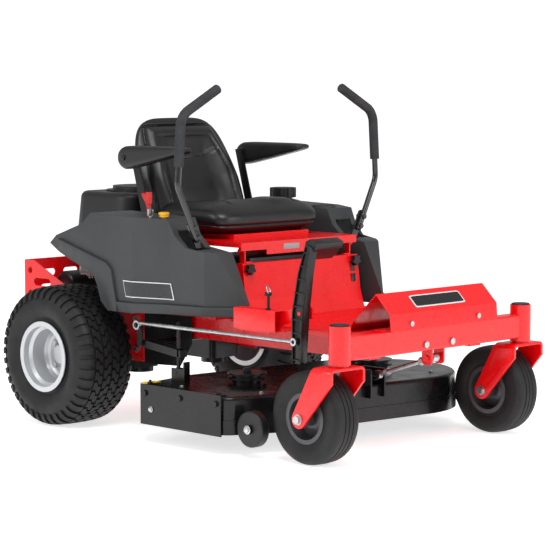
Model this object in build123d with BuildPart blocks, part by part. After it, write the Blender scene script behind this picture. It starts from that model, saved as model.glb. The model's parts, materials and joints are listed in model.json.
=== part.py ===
"""Zero turn mower, 42 inch deck. Millimetres, +Z up, front towards -Y, machine right towards -X."""
from build123d import *
import os

os.makedirs("parts", exist_ok=True)

# ---- driving dimensions -------------------------------------------------------------
wheelbase = 1198.0          # kingpin to rear axle
front_overhang = 50.0       # kingpin to footrest bolts
rear_overhang = 412.0       # rear axle to rear guard
rear_tyre_r = 228.5
rear_tyre_w = 216.0
rear_track = 904.0          # between rear tyre centres
rear_rim_seat_r = 102.0
rear_lip_r = 115.0
caster_tyre_r = 140.0
caster_tyre_w = 102.0
caster_rim_seat_r = 66.0
caster_lip_r = 76.0
caster_track = 828.0        # between kingpins
caster_trail = 98.0
fork_half_w = 72.0
fork_plate_t = 9.0
kingpin_r = 12.7
kingpin_tube_r = 33.0
kingpin_tube_h = 115.0
running_fit = 0.05          # radial clearance of a turning fit
side_gap = 0.4              # clearance between faces that slide past each other
rail_z = 300.0              # underside of the side rails
rail_h = 75.0
rail_w = 50.0
rail_x = 205.0              # inner face of a rail
sheet_t = 3.0
beam_h = 75.0
beam_d = 50.0
lever_tube_r = 9.5
grip_r = 15.5
deck_r = 268.0              # chamber radius
deck_x = 258.0              # chamber centre from the middle plane
deck_top_z = 180.0
deck_rim_z = 64.0
deck_t = 3.0
skirt_step = 3.0            # lower band stands proud of the deck wall
skirt_h = 44.0
blade_r = deck_r - deck_t - 12.0
fender_in = 300.0
fender_out = 470.0
fender_t = 4.0

# ---- derived places -----------------------------------------------------------------
length = front_overhang + wheelbase + rear_overhang
kp_y = front_overhang - length / 2
axle_y = kp_y + wheelbase
end_y = axle_y + rear_overhang
kp_x = caster_track / 2
wheel_x = rear_track / 2
rail_top = rail_z + rail_h
rail_out = rail_x + rail_w
tube_z = rail_z + 3.0
tube_top = tube_z + kingpin_tube_h
fork_top = tube_z - side_gap
floor_z = rail_top + sheet_t
CMIN = (Align.CENTER, Align.CENTER, Align.MIN)
CMID = (Align.CENTER, Align.CENTER, Align.CENTER)


def save(piece, name):
    piece.part.label = name
    export_step(piece.part, f"parts/{name}.step")


def side_name(side):
    return "right" if side < 0 else "left"


def disc(at, axis, radius, height, mode=Mode.ADD):
    """A cylinder that starts at a point and runs along an axis."""
    with Locations(Plane(origin=at, z_dir=axis)):
        Cylinder(radius, height, align=CMIN, mode=mode)


def hex_head(at, axis, radius, height):
    """A hexagon bolt head or nut that stands on a point."""
    with BuildSketch(Plane(origin=at, z_dir=axis)) as head:
        RegularPolygon(radius, 6)
    extrude(head.sketch, amount=height)


def block(x0, x1, y0, y1, z0, z1, mode=Mode.ADD):
    """A box between two corners."""
    with Locations(((x0 + x1) / 2, (y0 + y1) / 2, (z0 + z1) / 2)):
        return Box(abs(x1 - x0), abs(y1 - y0), abs(z1 - z0), mode=mode)


def side_profile(points, x0, x1, mode=Mode.ADD):
    """A plate whose outline lies in the YZ plane, between two X values."""
    with BuildSketch(Plane(origin=(x0, 0, 0), x_dir=(0, 1, 0), z_dir=(1, 0, 0))) as outline:
        Polygon(*points, align=None)
    extrude(outline.sketch, amount=x1 - x0, mode=mode)


panel_y = kp_y + 565.0
panel_top = 553.0
hinge_y = panel_y + 22.0
hinge_z = 592.0
hinge_pin_r = 6.0
pan_z = 614.0
ear_x = 236.0

# ---- main frame ---------------------------------------------------------------------
rail_front = kp_y + 30.0
rail_back = axle_y + 240.0
lift_y = kp_y + 868.0       # lift shaft, under the rails
lift_z = rail_z - 10.0
lift_r = 9.0
lever_x = 345.0
lever_y = kp_y + 667.5
lever_z = 545.0             # fore-and-aft pivot of a control lever
lever_in_z = 585.0          # in-and-out pivot
stanchion_x = fender_in + fender_t + 0.3
stanchion_t = 6.0
lever_pin_r = 8.0
engine_y = axle_y + 140.0
plate_t = 6.0
horn_x = 372.0

with BuildPart() as main_frame:
    for side in (-1, 1):
        rail_mid = side * (rail_x + rail_w / 2)
        block(rail_mid - rail_w / 2, rail_mid + rail_w / 2, rail_front, rail_back, rail_z, rail_top)
    for y in (rail_front, kp_y + 560.0, axle_y - 70.0, rail_back - rail_w):
        block(-rail_x - 1, rail_x + 1, y, y + rail_w, rail_z + 5.0, rail_top - 5.0)
    block(-rail_x - 1, rail_x + 1, axle_y - 40.0, rail_back, rail_top - 5.0 - plate_t, rail_top - 5.0)
    disc((0, engine_y, rail_z), (0, 0, 1), 60.0, rail_h, Mode.SUBTRACT)
    for side in (-1, 1):
        out = side * rail_out
        block(out, out + side * plate_t, axle_y - 160.0, axle_y + 210.0, rail_z - 100.0, rail_top)
        disc((out, axle_y, rear_tyre_r), (side, 0, 0), 27.0, plate_t, Mode.SUBTRACT)
        block(out, out + side * plate_t, lift_y - 30.0, lift_y + 30.0, lift_z - 22.0, rail_top)
        disc((out - side, lift_y, lift_z), (side, 0, 0), lift_r + running_fit, plate_t + 2, Mode.SUBTRACT)
        stand = side * stanchion_x
        block(stand, stand + side * stanchion_t, lever_y - 32.0, lever_y + 32.0, rail_top, lever_z + 28.0)
        block(side * (rail_x + 20.0), stand + side * stanchion_t, lever_y - 32.0, lever_y + 32.0,
              rail_top, rail_top + stanchion_t)
        disc((stand, lever_y, lever_z), (side, 0, 0), lever_pin_r, 54.0)
    for side in (-1, 1):
        x0 = side * ear_x
        block(x0, x0 + side * 5, hinge_y - 10, hinge_y + 12, panel_top, hinge_z + 12)
        block(x0, x0 - side * 24, hinge_y - 12, hinge_y + 4, panel_top, panel_top + 4)
        disc((x0 + side * 5, hinge_y, hinge_z), (side, 0, 0), hinge_pin_r, 16.0)
        block(side * (rail_x + 10), side * (rail_x + 14), kp_y + 820, kp_y + 900, rail_top, pan_z - side_gap)
        block(side * (rail_x + 10), side * (rail_x + 40), kp_y + 820, kp_y + 900, rail_top, rail_top + 4)
save(main_frame, "main_frame")

# ---- front axle ---------------------------------------------------------------------
beam_z = rail_z + 14.0
beam_y0 = kp_y - 20.0
clevis_y = kp_y + 2.0
clevis_z = beam_z - 27.0
clevis_half = 24.0
clevis_t = 6.0
clevis_pin_r = 6.0

with BuildPart() as front_axle:
    block(-kp_x + 10, kp_x - 10, beam_y0, beam_y0 + beam_d, beam_z, beam_z + beam_h)
    fillet(front_axle.edges().filter_by(Axis.X), radius=6.0)
    block(-kp_x + 20, kp_x - 20, beam_y0 + 6, beam_y0 + beam_d - 6, beam_z + 6, beam_z + beam_h - 6, Mode.SUBTRACT)
    for side in (-1, 1):
        disc((side * kp_x, kp_y, tube_z), (0, 0, 1), kingpin_tube_r, kingpin_tube_h)
        disc((side * kp_x, kp_y, tube_z), (0, 0, 1), kingpin_r + running_fit, kingpin_tube_h, Mode.SUBTRACT)
        ear = side * clevis_half
        block(ear, ear + side * clevis_t, clevis_y - 20, clevis_y + 20, clevis_z - 20, beam_z)
    fillet(front_axle.edges().filter_by(Axis.X).group_by(Axis.Z)[0], radius=12.0)
    disc((-clevis_half - clevis_t, clevis_y, clevis_z), (1, 0, 0), clevis_pin_r, 2 * (clevis_half + clevis_t))
    for side in (-1, 1):
        hex_head((side * (clevis_half + clevis_t), clevis_y, clevis_z), (side, 0, 0), 10.0, 6.0)
save(front_axle, "front_axle")


# ---- casters ------------------------------------------------------------------------
caster_y = kp_y + caster_trail
caster_z = caster_tyre_r
caster_bolt_r = 8.0
fork_arm_r = 27.0
fork_plate_z = fork_top - 4.0
caster_hub_half = fork_half_w - fork_plate_t - 2.0


def fork(side):
    """Bent plate fork: a top plate with rounded bends and two slanting arms, with its kingpin."""
    x = side * kp_x
    with BuildPart() as piece:
        with BuildSketch(Plane(origin=(x - fork_half_w, 0, 0), x_dir=(0, 1, 0), z_dir=(1, 0, 0))) as arm:
            with Locations((caster_y, caster_z)):
                Circle(fork_arm_r)
            with Locations((kp_y + 4.0, fork_plate_z - 22.0)):
                Rectangle(78.0, 44.0)
            make_hull()
        extrude(arm.sketch, amount=2 * fork_half_w)
        top_edges = piece.edges().filter_by(Axis.Y).group_by(Axis.Z)[-1]
        fillet(top_edges, radius=16.0)
        inner = fork_half_w - fork_plate_t
        with BuildSketch(Plane(origin=(0, kp_y - 60, 0), x_dir=(1, 0, 0), z_dir=(0, -1, 0))) as gap:
            with Locations((x, fork_plate_z - fork_plate_t - 100.0)):
                Rectangle(2 * inner, 200.0)
            fillet(gap.vertices().group_by(Axis.Z)[-1], radius=7.0)
        extrude(gap.sketch, amount=-300.0, mode=Mode.SUBTRACT)
        disc((x - fork_half_w, caster_y, caster_z), (1, 0, 0), caster_bolt_r, 2 * fork_half_w, Mode.SUBTRACT)
        disc((x, kp_y, fork_plate_z), (0, 0, 1), 28.0, fork_top - fork_plate_z)
        disc((x, kp_y, fork_plate_z - 2), (0, 0, 1), kingpin_r, tube_top - fork_plate_z - 1.0)
    return piece


def caster_bolt(side):
    """Axle bolt with its nut, washers and the two spacers beside the hub."""
    x = side * kp_x
    with BuildPart() as piece:
        disc((x - fork_half_w, caster_y, caster_z), (1, 0, 0), caster_bolt_r, 2 * fork_half_w)
        for end in (-1, 1):
            disc((x + end * fork_half_w, caster_y, caster_z), (end, 0, 0), 16.0, 2.5)
            hex_head((x + end * (fork_half_w + 2.5), caster_y, caster_z), (end, 0, 0), 13.0, 9.0)
            disc((x + end * (caster_hub_half + side_gap), caster_y, caster_z), (end, 0, 0), 14.0,
                 fork_half_w - fork_plate_t - caster_hub_half - side_gap)
    return piece


def wheel_section(x, y, z, profile):
    """Turns a closed section of (distance along X, radius) points about the wheel axis."""
    with BuildSketch(Plane(origin=(x, y, z), x_dir=(1, 0, 0), z_dir=(0, -1, 0))) as section:
        with BuildLine():
            Polyline(*profile, close=True)
        make_face()
    return section


def tyre(x, y, z, half_w, radius, seat_r, bead_half, crown):
    """A tyre: flat beads on the rim seat, bulging walls and a crowned tread."""
    with BuildPart() as piece:
        with BuildSketch(Plane(origin=(x, y, z), x_dir=(1, 0, 0), z_dir=(0, -1, 0))) as section:
            with BuildLine():
                Line((-bead_half, seat_r), (bead_half, seat_r))
                Line((bead_half, seat_r), (bead_half, seat_r + crown))
                ThreePointArc((bead_half, seat_r + crown), (half_w, (seat_r + radius) / 2),
                              (bead_half, radius - crown))
                ThreePointArc((bead_half, radius - crown), (0, radius), (-bead_half, radius - crown))
                ThreePointArc((-bead_half, radius - crown), (-half_w, (seat_r + radius) / 2),
                              (-bead_half, seat_r + crown))
                Line((-bead_half, seat_r + crown), (-bead_half, seat_r))
            make_face()
        revolve(section.sketch, axis=Axis((x, y, z), (1, 0, 0)))
    return piece


def caster_rim(side):
    """Steel rim with two lips, a centre web and a long hub tube."""
    x, half, t = side * kp_x, caster_tyre_w / 2 - 8.0, 3.0
    with BuildPart() as piece:
        profile = [(-half - t, caster_rim_seat_r - t), (-half - t, caster_lip_r), (-half, caster_lip_r),
                   (-half, caster_rim_seat_r), (half, caster_rim_seat_r), (half, caster_lip_r),
                   (half + t, caster_lip_r), (half + t, caster_rim_seat_r - t), (t, caster_rim_seat_r - t),
                   (20.0, 30.0), (20.0, 24.0), (caster_hub_half, 20.0), (caster_hub_half, 14.0),
                   (-caster_hub_half, 14.0), (-caster_hub_half, 20.0), (-20.0, 24.0), (-20.0, 30.0),
                   (-t, caster_rim_seat_r - t)]
        section = wheel_section(x, caster_y, caster_z, profile)
        revolve(section.sketch, axis=Axis((x, caster_y, caster_z), (1, 0, 0)))
        disc((x - caster_hub_half, caster_y, caster_z), (1, 0, 0), 14.0, 2 * caster_hub_half)
        disc((x - caster_hub_half, caster_y, caster_z), (1, 0, 0), caster_bolt_r + running_fit,
             2 * caster_hub_half, Mode.SUBTRACT)
    return piece


for side in (-1, 1):
    save(fork(side), f"caster_fork_{side_name(side)}")
    save(caster_bolt(side), f"caster_bolt_{side_name(side)}")
    save(caster_rim(side), f"caster_rim_{side_name(side)}")
    save(tyre(side * kp_x, caster_y, caster_z, caster_tyre_w / 2, caster_tyre_r, caster_rim_seat_r,
              caster_tyre_w / 2 - 8.0, 12.0), f"caster_tyre_{side_name(side)}")

# ---- rear wheels --------------------------------------------------------------------
bead_half = rear_tyre_w / 2 - 8.0
disc_x = wheel_x + 14.0     # outer face of the wheel disc
axle_r = 12.7
hub_cap_r = 30.0
lug_pcd_r = 50.0


def rear_rim(side):
    """Deep stepped rim with its disc, hub flange, axle shaft, hub cap, lug nuts and valve."""
    x, t, s = side * wheel_x, 3.5, side
    inner = side * disc_x - x
    seat, lip = rear_rim_seat_r, rear_lip_r
    with BuildPart() as piece:
        profile = [(-s * (bead_half + t), seat - t), (-s * (bead_half + t), lip), (-s * bead_half, lip),
                   (-s * bead_half, seat), (s * bead_half, seat), (s * bead_half, lip),
                   (s * (bead_half + t), lip), (s * (bead_half + t), seat - t),
                   (s * (bead_half - 18), seat - t), (s * (bead_half - 26), seat - 14.0),
                   (inner + s * 14, seat - 17.0), (inner + s * 4, seat - 24.0), (inner, seat - 34.0),
                   (inner, axle_r + 2), (inner - s * 4, axle_r + 2), (inner - s * 4, seat - 32.0),
                   (inner - s * 2, seat - 22.0), (inner - s * 6, seat - t)]
        section = wheel_section(x, axle_y, rear_tyre_r, profile)
        revolve(section.sketch, axis=Axis((x, axle_y, rear_tyre_r), (1, 0, 0)))
        face = side * disc_x
        back = face - side * 4.0
        disc((back, axle_y, rear_tyre_r), (-side, 0, 0), 66.0, 8.0)
        disc((back, axle_y, rear_tyre_r), (-side, 0, 0), axle_r, disc_x - 4.0 - horn_x + 60.0)
        disc((back, axle_y, rear_tyre_r), (side, 0, 0), hub_cap_r, 22.0)
        for k in range(4):
            spot = Vector(0, lug_pcd_r, 0).rotate(Axis.X, 45 + 90 * k)
            hex_head((face, axle_y + spot.Y, rear_tyre_r + spot.Z), (side, 0, 0), 11.0, 14.0)
    return piece


for side in (-1, 1):
    save(rear_rim(side), f"rear_rim_{side_name(side)}")
    save(tyre(side * wheel_x, axle_y, rear_tyre_r, rear_tyre_w / 2, rear_tyre_r, rear_rim_seat_r,
              bead_half, 16.0), f"rear_tyre_{side_name(side)}")


def transaxle(side):
    """Cast hydrostatic transaxle hung under a rail, with its axle horn."""
    with BuildPart() as piece:
        x0, x1 = side * 120.0, side * (rail_out - 5.0)
        block(x0, x1, axle_y - 85.0, axle_y + 75.0, rear_tyre_r - 62.0, rail_z)
        fillet(piece.edges().filter_by(Axis.Z), radius=18.0)
        disc((x1 - side * 5, axle_y, rear_tyre_r), (side, 0, 0), 26.0, horn_x - rail_out + 10.0)
        disc((side * (horn_x + 2), axle_y, rear_tyre_r), (-side, 0, 0), axle_r + running_fit, 75.0, Mode.SUBTRACT)
        disc((side * 170.0, axle_y - 40.0, rear_tyre_r - 62.0), (0, 0, -1), 45.0, 16.0)
    return piece


for side in (-1, 1):
    save(transaxle(side), f"transaxle_{side_name(side)}")

# ---- sheet metal at the front -------------------------------------------------------
rest_half = 244.0
rest_front = kp_y - 47.0
rest_fold = (kp_y - 43.0, 440.0)
rest_top = (kp_y + 16.0, 497.0)
rest_back = (kp_y + 137.0, floor_z)
beam_top = beam_z + beam_h

with BuildPart() as footrest:
    with BuildSketch(Plane(origin=(-rest_half, 0, 0), x_dir=(0, 1, 0), z_dir=(1, 0, 0))) as fold:
        Polygon((rest_front, beam_top), rest_fold, rest_top, rest_back, (rest_back[0] - 4.2, floor_z),
                (rest_top[0] - 0.6, rest_top[1] - 4.4), (rest_fold[0] + 3, rest_fold[1] - 1.2),
                (rest_front + 3, beam_top + 3), (kp_y + 20, beam_top + 3), (kp_y + 20, beam_top), align=None)
    extrude(fold.sketch, amount=2 * rest_half)
    for side in (-1, 1):
        with BuildSketch(Plane(origin=(0, rest_front - 20, 0), x_dir=(side, 0, 0),
                               z_dir=(0, side, 0))) as wedge:
            Polygon((187.0, beam_top - 10), (187.0, beam_top), (202.0, rest_fold[1]), (rest_half, rest_top[1]),
                    (rest_half + 20, rest_top[1]), (rest_half + 20, beam_top - 10), align=None)
        extrude(wedge.sketch, amount=side * (rest_top[0] - rest_front + 16), mode=Mode.SUBTRACT)
save(footrest, "footrest")

panel_half = 262.0
floor_half = 300.0
floor_back = kp_y + 585.0

with BuildPart() as floor_pan:
    block(-floor_half, floor_half, kp_y + 110.0, floor_back, rail_top, floor_z)
    for side in (-1, 1):
        edge = side * floor_half
        block(edge, edge - side * sheet_t, kp_y + 110.0, floor_back, rail_top - 14.0, floor_z)
    block(-floor_half - 1, -floor_half + 4, kp_y + 284, kp_y + 421, rail_top - 15.0, rail_top, Mode.SUBTRACT)
save(floor_pan, "floor_pan")

with BuildPart() as front_panel:
    side_profile([(panel_y - 35, floor_z), (panel_y - 35 + sheet_t, floor_z), (panel_y - 12, floor_z + 60),
                  (panel_y + sheet_t, panel_top - sheet_t), (panel_y + 26, panel_top - sheet_t),
                  (panel_y + 26, panel_top), (panel_y, panel_top), (panel_y - 15, floor_z + 60)],
                 -panel_half, panel_half)
    for side in (-1, 1):
        wall = side * panel_half
        side_profile([(panel_y - 35, floor_z), (floor_back - 2, floor_z), (panel_y + 26, panel_top),
                      (panel_y, panel_top), (panel_y - 15, floor_z + 60)], wall, wall - side * sheet_t)
save(front_panel, "front_panel")

cap_r = kingpin_tube_r - 4.0
knob_x = 240.0
with BuildPart() as caps_and_knobs:
    for side in (-1, 1):
        disc((side * kp_x, kp_y, tube_top), (0, 0, 1), cap_r, 5.0)
    fillet(caps_and_knobs.edges().group_by(Axis.Z)[-1], radius=4.0)
    for side in (-1, 1):
        with BuildSketch(Plane(origin=(side * knob_x, panel_y - 4.9, panel_top - 18.0), z_dir=(0, -1, 0))) as star:
            Circle(13.0)
            with PolarLocations(13.0, 5):
                Circle(5.0)
        extrude(star.sketch, amount=16.0)
save(caps_and_knobs, "caps_and_knobs")

guard_plate_t = 3.0
with BuildPart() as drive_guard:
    for side in (-1, 1):
        x0 = side * (rail_out + plate_t + 4.0)
        side_profile([(kp_y + 795, rail_z + 66), (kp_y + 795, rail_z - 20), (kp_y + 850, rail_z - 96),
                      (axle_y - 175, rail_z - 104), (axle_y - 175, rail_z + 66)], x0, x0 + side * guard_plate_t)
        block(side * rail_out, x0 + side * guard_plate_t, axle_y - 181, axle_y - 175, rail_z + 2, rail_z + 66)
        disc((x0 - side, lift_y, lift_z), (side, 0, 0), lift_r + 5.0, guard_plate_t + 2, Mode.SUBTRACT)
        for y, z in ((kp_y + 880, rail_z - 60), (axle_y - 210, rail_z + 20)):
            hex_head((x0 + side * guard_plate_t, y, z), (side, 0, 0), 9.0, 5.0)
save(drive_guard, "drive_guard")

# ---- seat ---------------------------------------------------------------------------
seat_half = 262.0
pan_back = kp_y + 1075.0


ear0 = ear_x + 5.0 + side_gap
with BuildPart() as seat_pan:
    block(-seat_half, seat_half, panel_y + 8, pan_back, pan_z, pan_z + sheet_t)
    block(-seat_half, seat_half, panel_y + 5, panel_y + 8, hinge_z, pan_z + sheet_t)
    block(-150, 150, panel_y + 5, panel_y + 8, hinge_z - 16, hinge_z)
    for side in (-1, 1):
        x0 = side * ear0
        block(x0, x0 + side * 5, hinge_y - 12, hinge_y + 12, hinge_z, pan_z)
        disc((x0, hinge_y, hinge_z), (side, 0, 0), 12.0, 5.0)
        disc((x0 - side, hinge_y, hinge_z), (side, 0, 0), hinge_pin_r + running_fit, 8.0, Mode.SUBTRACT)
        block(side * (seat_half - sheet_t), side * seat_half, panel_y + 8, pan_back, pan_z - 12, pan_z)
    block(-170, 170, kp_y + 700, kp_y + 1000, pan_z + sheet_t, pan_z + 18)
save(seat_pan, "seat_pan")

cushion_half = 232.0
cushion_z = pan_z + 18.0
back_low = (kp_y + 1003.0, cushion_z + 6.0)
back_top = (kp_y + 1152.0, 1008.0)
back_lean = (back_top[0] - back_low[0]) / (back_top[1] - back_low[1])
cushion_end = back_low[0] - 0.5
with BuildPart() as seat_cushion:
    side_profile([(kp_y + 690, cushion_z + 16), (kp_y + 712, cushion_z), (cushion_end - 6 * back_lean, cushion_z),
                  (cushion_end + 66 * back_lean, back_low[1] + 66),
                  (kp_y + 960, cushion_z + 76), (kp_y + 800, cushion_z + 92),
                  (kp_y + 735, cushion_z + 100), (kp_y + 702, cushion_z + 78)], -cushion_half, cushion_half)
    fillet(seat_cushion.edges().filter_by(Axis.X).group_by(Axis.Z)[-1], radius=18.0)
    fillet(seat_cushion.faces().sort_by(Axis.X)[0].edges(), radius=12.0)
    fillet(seat_cushion.faces().sort_by(Axis.X)[-1].edges(), radius=12.0)
save(seat_cushion, "seat_cushion")

back_half = 222.0
back_t = 54.0
strap_x = cushion_half + 4.0
strap_t = 5.0
arm_pivot = (kp_y + 1104.0, 868.0)
arm_lobe_r = 40.0

with BuildPart() as seat_back:
    rise = Vector(0, back_top[0] - back_low[0], back_top[1] - back_low[1])
    tall = rise.length
    tilt_plane = Plane(origin=(0, back_low[0], back_low[1]), x_dir=(1, 0, 0), z_dir=Vector(0, -rise.Z, rise.Y))
    with BuildSketch(tilt_plane) as panel:
        with Locations((back_half - 50, 50), (-back_half + 50, 50)):
            Circle(50.0)
        with Locations((back_half - 62, 170), (-back_half + 62, 170)):
            Circle(60.0)
        with Locations((78, tall - 95), (-78, tall - 95)):
            Circle(95.0)
        make_hull()
    extrude(panel.sketch, amount=-back_t)
    fillet(seat_back.faces().filter_by(tilt_plane).edges(), radius=16.0)
save(seat_back, "seat_back")

with BuildPart() as seat_frame:
    for side in (-1, 1):
        x0 = side * strap_x
        x1 = x0 + side * strap_t
        side_profile([(kp_y + 1010, pan_z + sheet_t), (kp_y + 1045, pan_z + sheet_t),
                      (arm_pivot[0] + 16, arm_pivot[1] + 16), (arm_pivot[0] - 16, arm_pivot[1] + 16)], x0, x1)
        disc((x1, *arm_pivot), (side, 0, 0), 8.0, 28.0)
        block(x0, x1, kp_y + 1010, kp_y + 1078, pan_z + sheet_t, pan_z + sheet_t + 60)
    with BuildSketch(tilt_plane.offset(-back_t)) as rest_bar:
        with Locations((0, 32)):
            Rectangle(2 * strap_x + 1, 26)
    extrude(rest_bar.sketch, amount=-6.0)
save(seat_frame, "seat_frame")


def armrest(side):
    """Padded armrest that flips up about the pin on the seat frame."""
    x0 = side * (strap_x + strap_t + side_gap)
    x1 = x0 + side * 54.0
    tip_y = kp_y + 809.0
    with BuildPart() as piece:
        with BuildSketch(Plane(origin=(x0, 0, 0), x_dir=(0, 1, 0), z_dir=(1, 0, 0))) as outline:
            with Locations((arm_pivot[0] - 12, arm_pivot[1] + 2)):
                Circle(arm_lobe_r)
            with Locations((tip_y + 12, arm_pivot[1] + 2 + arm_lobe_r - 17.0)):
                Circle(11.0)
            with Locations((tip_y + 150, arm_pivot[1] + 2 + arm_lobe_r - 14.0)):
                Circle(14.0)
            make_hull()
        extrude(outline.sketch, amount=x1 - x0)
        fillet(piece.faces().sort_by(Axis.X)[0].edges(), radius=5.0)
        fillet(piece.faces().sort_by(Axis.X)[-1].edges(), radius=5.0)
        disc((x0, arm_pivot[0], arm_pivot[1]), (side, 0, 0), 8.0 + running_fit, 29.0, Mode.SUBTRACT)
    return piece


for side in (-1, 1):
    save(armrest(side), f"armrest_{side_name(side)}")

# ---- fenders ------------------------------------------------------------------------
fender_low = 391.0
key_x = -426.0
key_y = kp_y + 812.0


def fender_solid(side, inset):
    """The filled outer shape of a fender, shrunk by an inset on every face."""
    k = kp_y
    outline = [(k + 1259, 592), (k + 1227, 619), (k + 1192, 631), (k + 1099, 662), (k + 1052, 700),
               (k + 740, 692), (k + 714, 640), (k + 672, 604), (k + 570, 590), (k + 492, 432),
               (k + 540, fender_low), (k + 970, fender_low), (k + 1005, 419), (k + 1019, 464),
               (k + 1039, 499), (k + 1080, 519), (k + 1152, 541), (k + 1214, 566)]
    with BuildPart() as solid:
        x0 = side * (fender_in + inset)
        with BuildSketch(Plane(origin=(x0, 0, 0), x_dir=(0, 1, 0), z_dir=(1, 0, 0))) as shape:
            Polygon(*outline, align=None)
            if inset:
                offset(amount=-inset, kind=Kind.INTERSECTION)
        extrude(shape.sketch, amount=side * (fender_out - fender_in - 2 * inset))
        with BuildSketch(Plane.XY) as corner:
            Polygon((side * (300.0 - 8 - inset), k + 470), (side * (393.0 - inset), k + 600),
                    (side * (418.0 - inset), k + 740), (side * (fender_out - inset), k + 850),
                    (side * 600, k + 850), (side * 600, k + 400), (side * 280, k + 400), align=None)
        extrude(corner.sketch, amount=800.0, mode=Mode.SUBTRACT)
    return solid.part


def fender(side):
    """Moulded fender shell, open below, with the control lever slot and the top openings."""
    k = kp_y
    with BuildPart() as piece:
        add(fender_solid(side, 0.0))
        add(fender_solid(side, fender_t), mode=Mode.SUBTRACT)
        side_profile([(k + 480, fender_low - 20), (k + 1006, fender_low - 20), (k + 1006, 402.0),
                      (k + 560, 402.0), (k + 480, 402.0)], side * (fender_in + fender_t),
                     side * (fender_out - fender_t), Mode.SUBTRACT)
        side_profile([(k + 985, 385), (k + 1019 + 8, 462), (k + 1047, 493), (k + 1086, 513), (k + 1158, 534),
                      (k + 1240, 566), (k + 1240, 574), (k + 1210, 574), (k + 1148, 549), (k + 1076, 527),
                      (k + 1030, 506), (k + 1008, 468), (k + 996, 423), (k + 975, 400)],
                     side * (fender_in + fender_t), side * (fender_out - fender_t), Mode.SUBTRACT)
        block(side * 322.0, side * 392.0, lever_y - 32, lever_y + 58, 560.0, 720.0, Mode.SUBTRACT)
        if side < 0:
            block(side * 402.0, side * 408.0, k + 800, k + 880, 680.0, 720.0, Mode.SUBTRACT)
            disc((side * 406.0, k + 770, 670.0), (0, 0, 1), 5.0 + side_gap, 40.0, Mode.SUBTRACT)
            disc((key_x, key_y, 670.0), (0, 0, 1), 7.0 + side_gap, 40.0, Mode.SUBTRACT)
        else:
            disc((side * 350.0, k + 1000, 660.0), (0, 0, 1), 36.0 + side_gap, 60.0, Mode.SUBTRACT)
            disc((side * 345.0, k + 800, 690.0), (0, 0, 1), 38.0, 30.0, Mode.SUBTRACT)
            disc((side * 345.0, k + 800, 620.0), (0, 0, 1), 41.0, 80.0)
            disc((side * 345.0, k + 800, 623.0), (0, 0, 1), 38.0, 80.0, Mode.SUBTRACT)
    return piece


for side in (-1, 1):
    save(fender(side), f"fender_{side_name(side)}")

with BuildPart() as fuel_tank:
    block(312, 392, kp_y + 850, kp_y + 1060, 560.0, 678.0)
    fillet(fuel_tank.edges(), radius=14.0)
    disc((350, kp_y + 1000, 676.0), (0, 0, 1), 33.0, 42.0)
    block(fender_in + fender_t, 330, kp_y + 900, kp_y + 950, 640.0, 652.0)
save(fuel_tank, "fuel_tank")

# ---- controls on the fenders --------------------------------------------------------
with BuildPart() as fuel_cap:
    with BuildSketch(Plane(origin=(350, kp_y + 1000, 718.0 + side_gap), z_dir=(0, 0, 1))) as lobes:
        Circle(42.0)
        with PolarLocations(40.0, 10):
            Circle(6.0)
    extrude(lobes.sketch, amount=34.0)
    fillet(fuel_cap.faces().sort_by(Axis.Z)[-1].edges(), radius=2.0)
    disc((350, kp_y + 1000, 717.0), (0, 0, 1), 30.0, 3.0, Mode.SUBTRACT)
save(fuel_cap, "fuel_cap")

throttle_pin = (kp_y + 840.0, 655.0)
with BuildPart() as throttle_lever:
    with BuildSketch(Plane(origin=(-407.0, 0, 0), x_dir=(0, 1, 0), z_dir=(1, 0, 0))) as stick:
        with Locations(throttle_pin):
            Circle(9.0)
        with Locations((throttle_pin[0] + 2, 768.0)):
            Circle(4.0)
        make_hull()
    extrude(stick.sketch, amount=4.0)
    block(-411, -399, kp_y + 834, kp_y + 850, 735.0, 772.0)
    disc((-408, *throttle_pin), (1, 0, 0), 4.0 + running_fit, 6.0, Mode.SUBTRACT)
save(throttle_lever, "throttle_lever")

with BuildPart() as control_panel:
    block(-420, -395, kp_y + 815, kp_y + 822, 640.0, 689.2)
    block(-398, -395, kp_y + 815, kp_y + 852, 640.0, 672.0)
    disc((-398, *throttle_pin), (-1, 0, 0), 4.0, 14.0)
    disc((-406, kp_y + 770, 640.0), (0, 0, 1), 12.0, 48.2)
    disc((-406, kp_y + 770, 636.0), (0, 0, 1), 4.0 + running_fit, 60.0, Mode.SUBTRACT)
    disc((key_x, key_y, 640.0), (0, 0, 1), 12.0, 49.2)
    disc((key_x, key_y, 636.0), (0, 0, 1), 6.0 + running_fit, 60.0, Mode.SUBTRACT)
    block(key_x, -400, kp_y + 765, kp_y + 822, 640.0, 644.0)
    disc((-406, kp_y + 770, 636.0), (0, 0, 1), 4.0 + running_fit, 60.0, Mode.SUBTRACT)
    disc((key_x, key_y, 636.0), (0, 0, 1), 6.0 + running_fit, 60.0, Mode.SUBTRACT)
save(control_panel, "control_panel")

with BuildPart() as pto_knob:
    disc((-406, kp_y + 770, 646.0), (0, 0, 1), 4.0, 55.0)
    disc((-406, kp_y + 770, 697.0), (0, 0, 1), 15.0, 14.0)
    fillet(pto_knob.faces().sort_by(Axis.Z)[-1].edges(), radius=4.0)
save(pto_knob, "pto_knob")

with BuildPart() as ignition_key:
    disc((key_x, key_y, 650.0), (0, 0, 1), 6.0, 50.0)
    block(key_x - 2, key_x + 2, key_y - 12, key_y + 12, 698.0, 720.0)
save(ignition_key, "ignition_key")

# ---- control levers -----------------------------------------------------------------
lap_y0 = lever_y - 3.5
lap_t = 7.0
lap_pin_r = 5.0
tube_y = kp_y + 658.0
ear_gap = lap_t / 2 + side_gap


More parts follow.
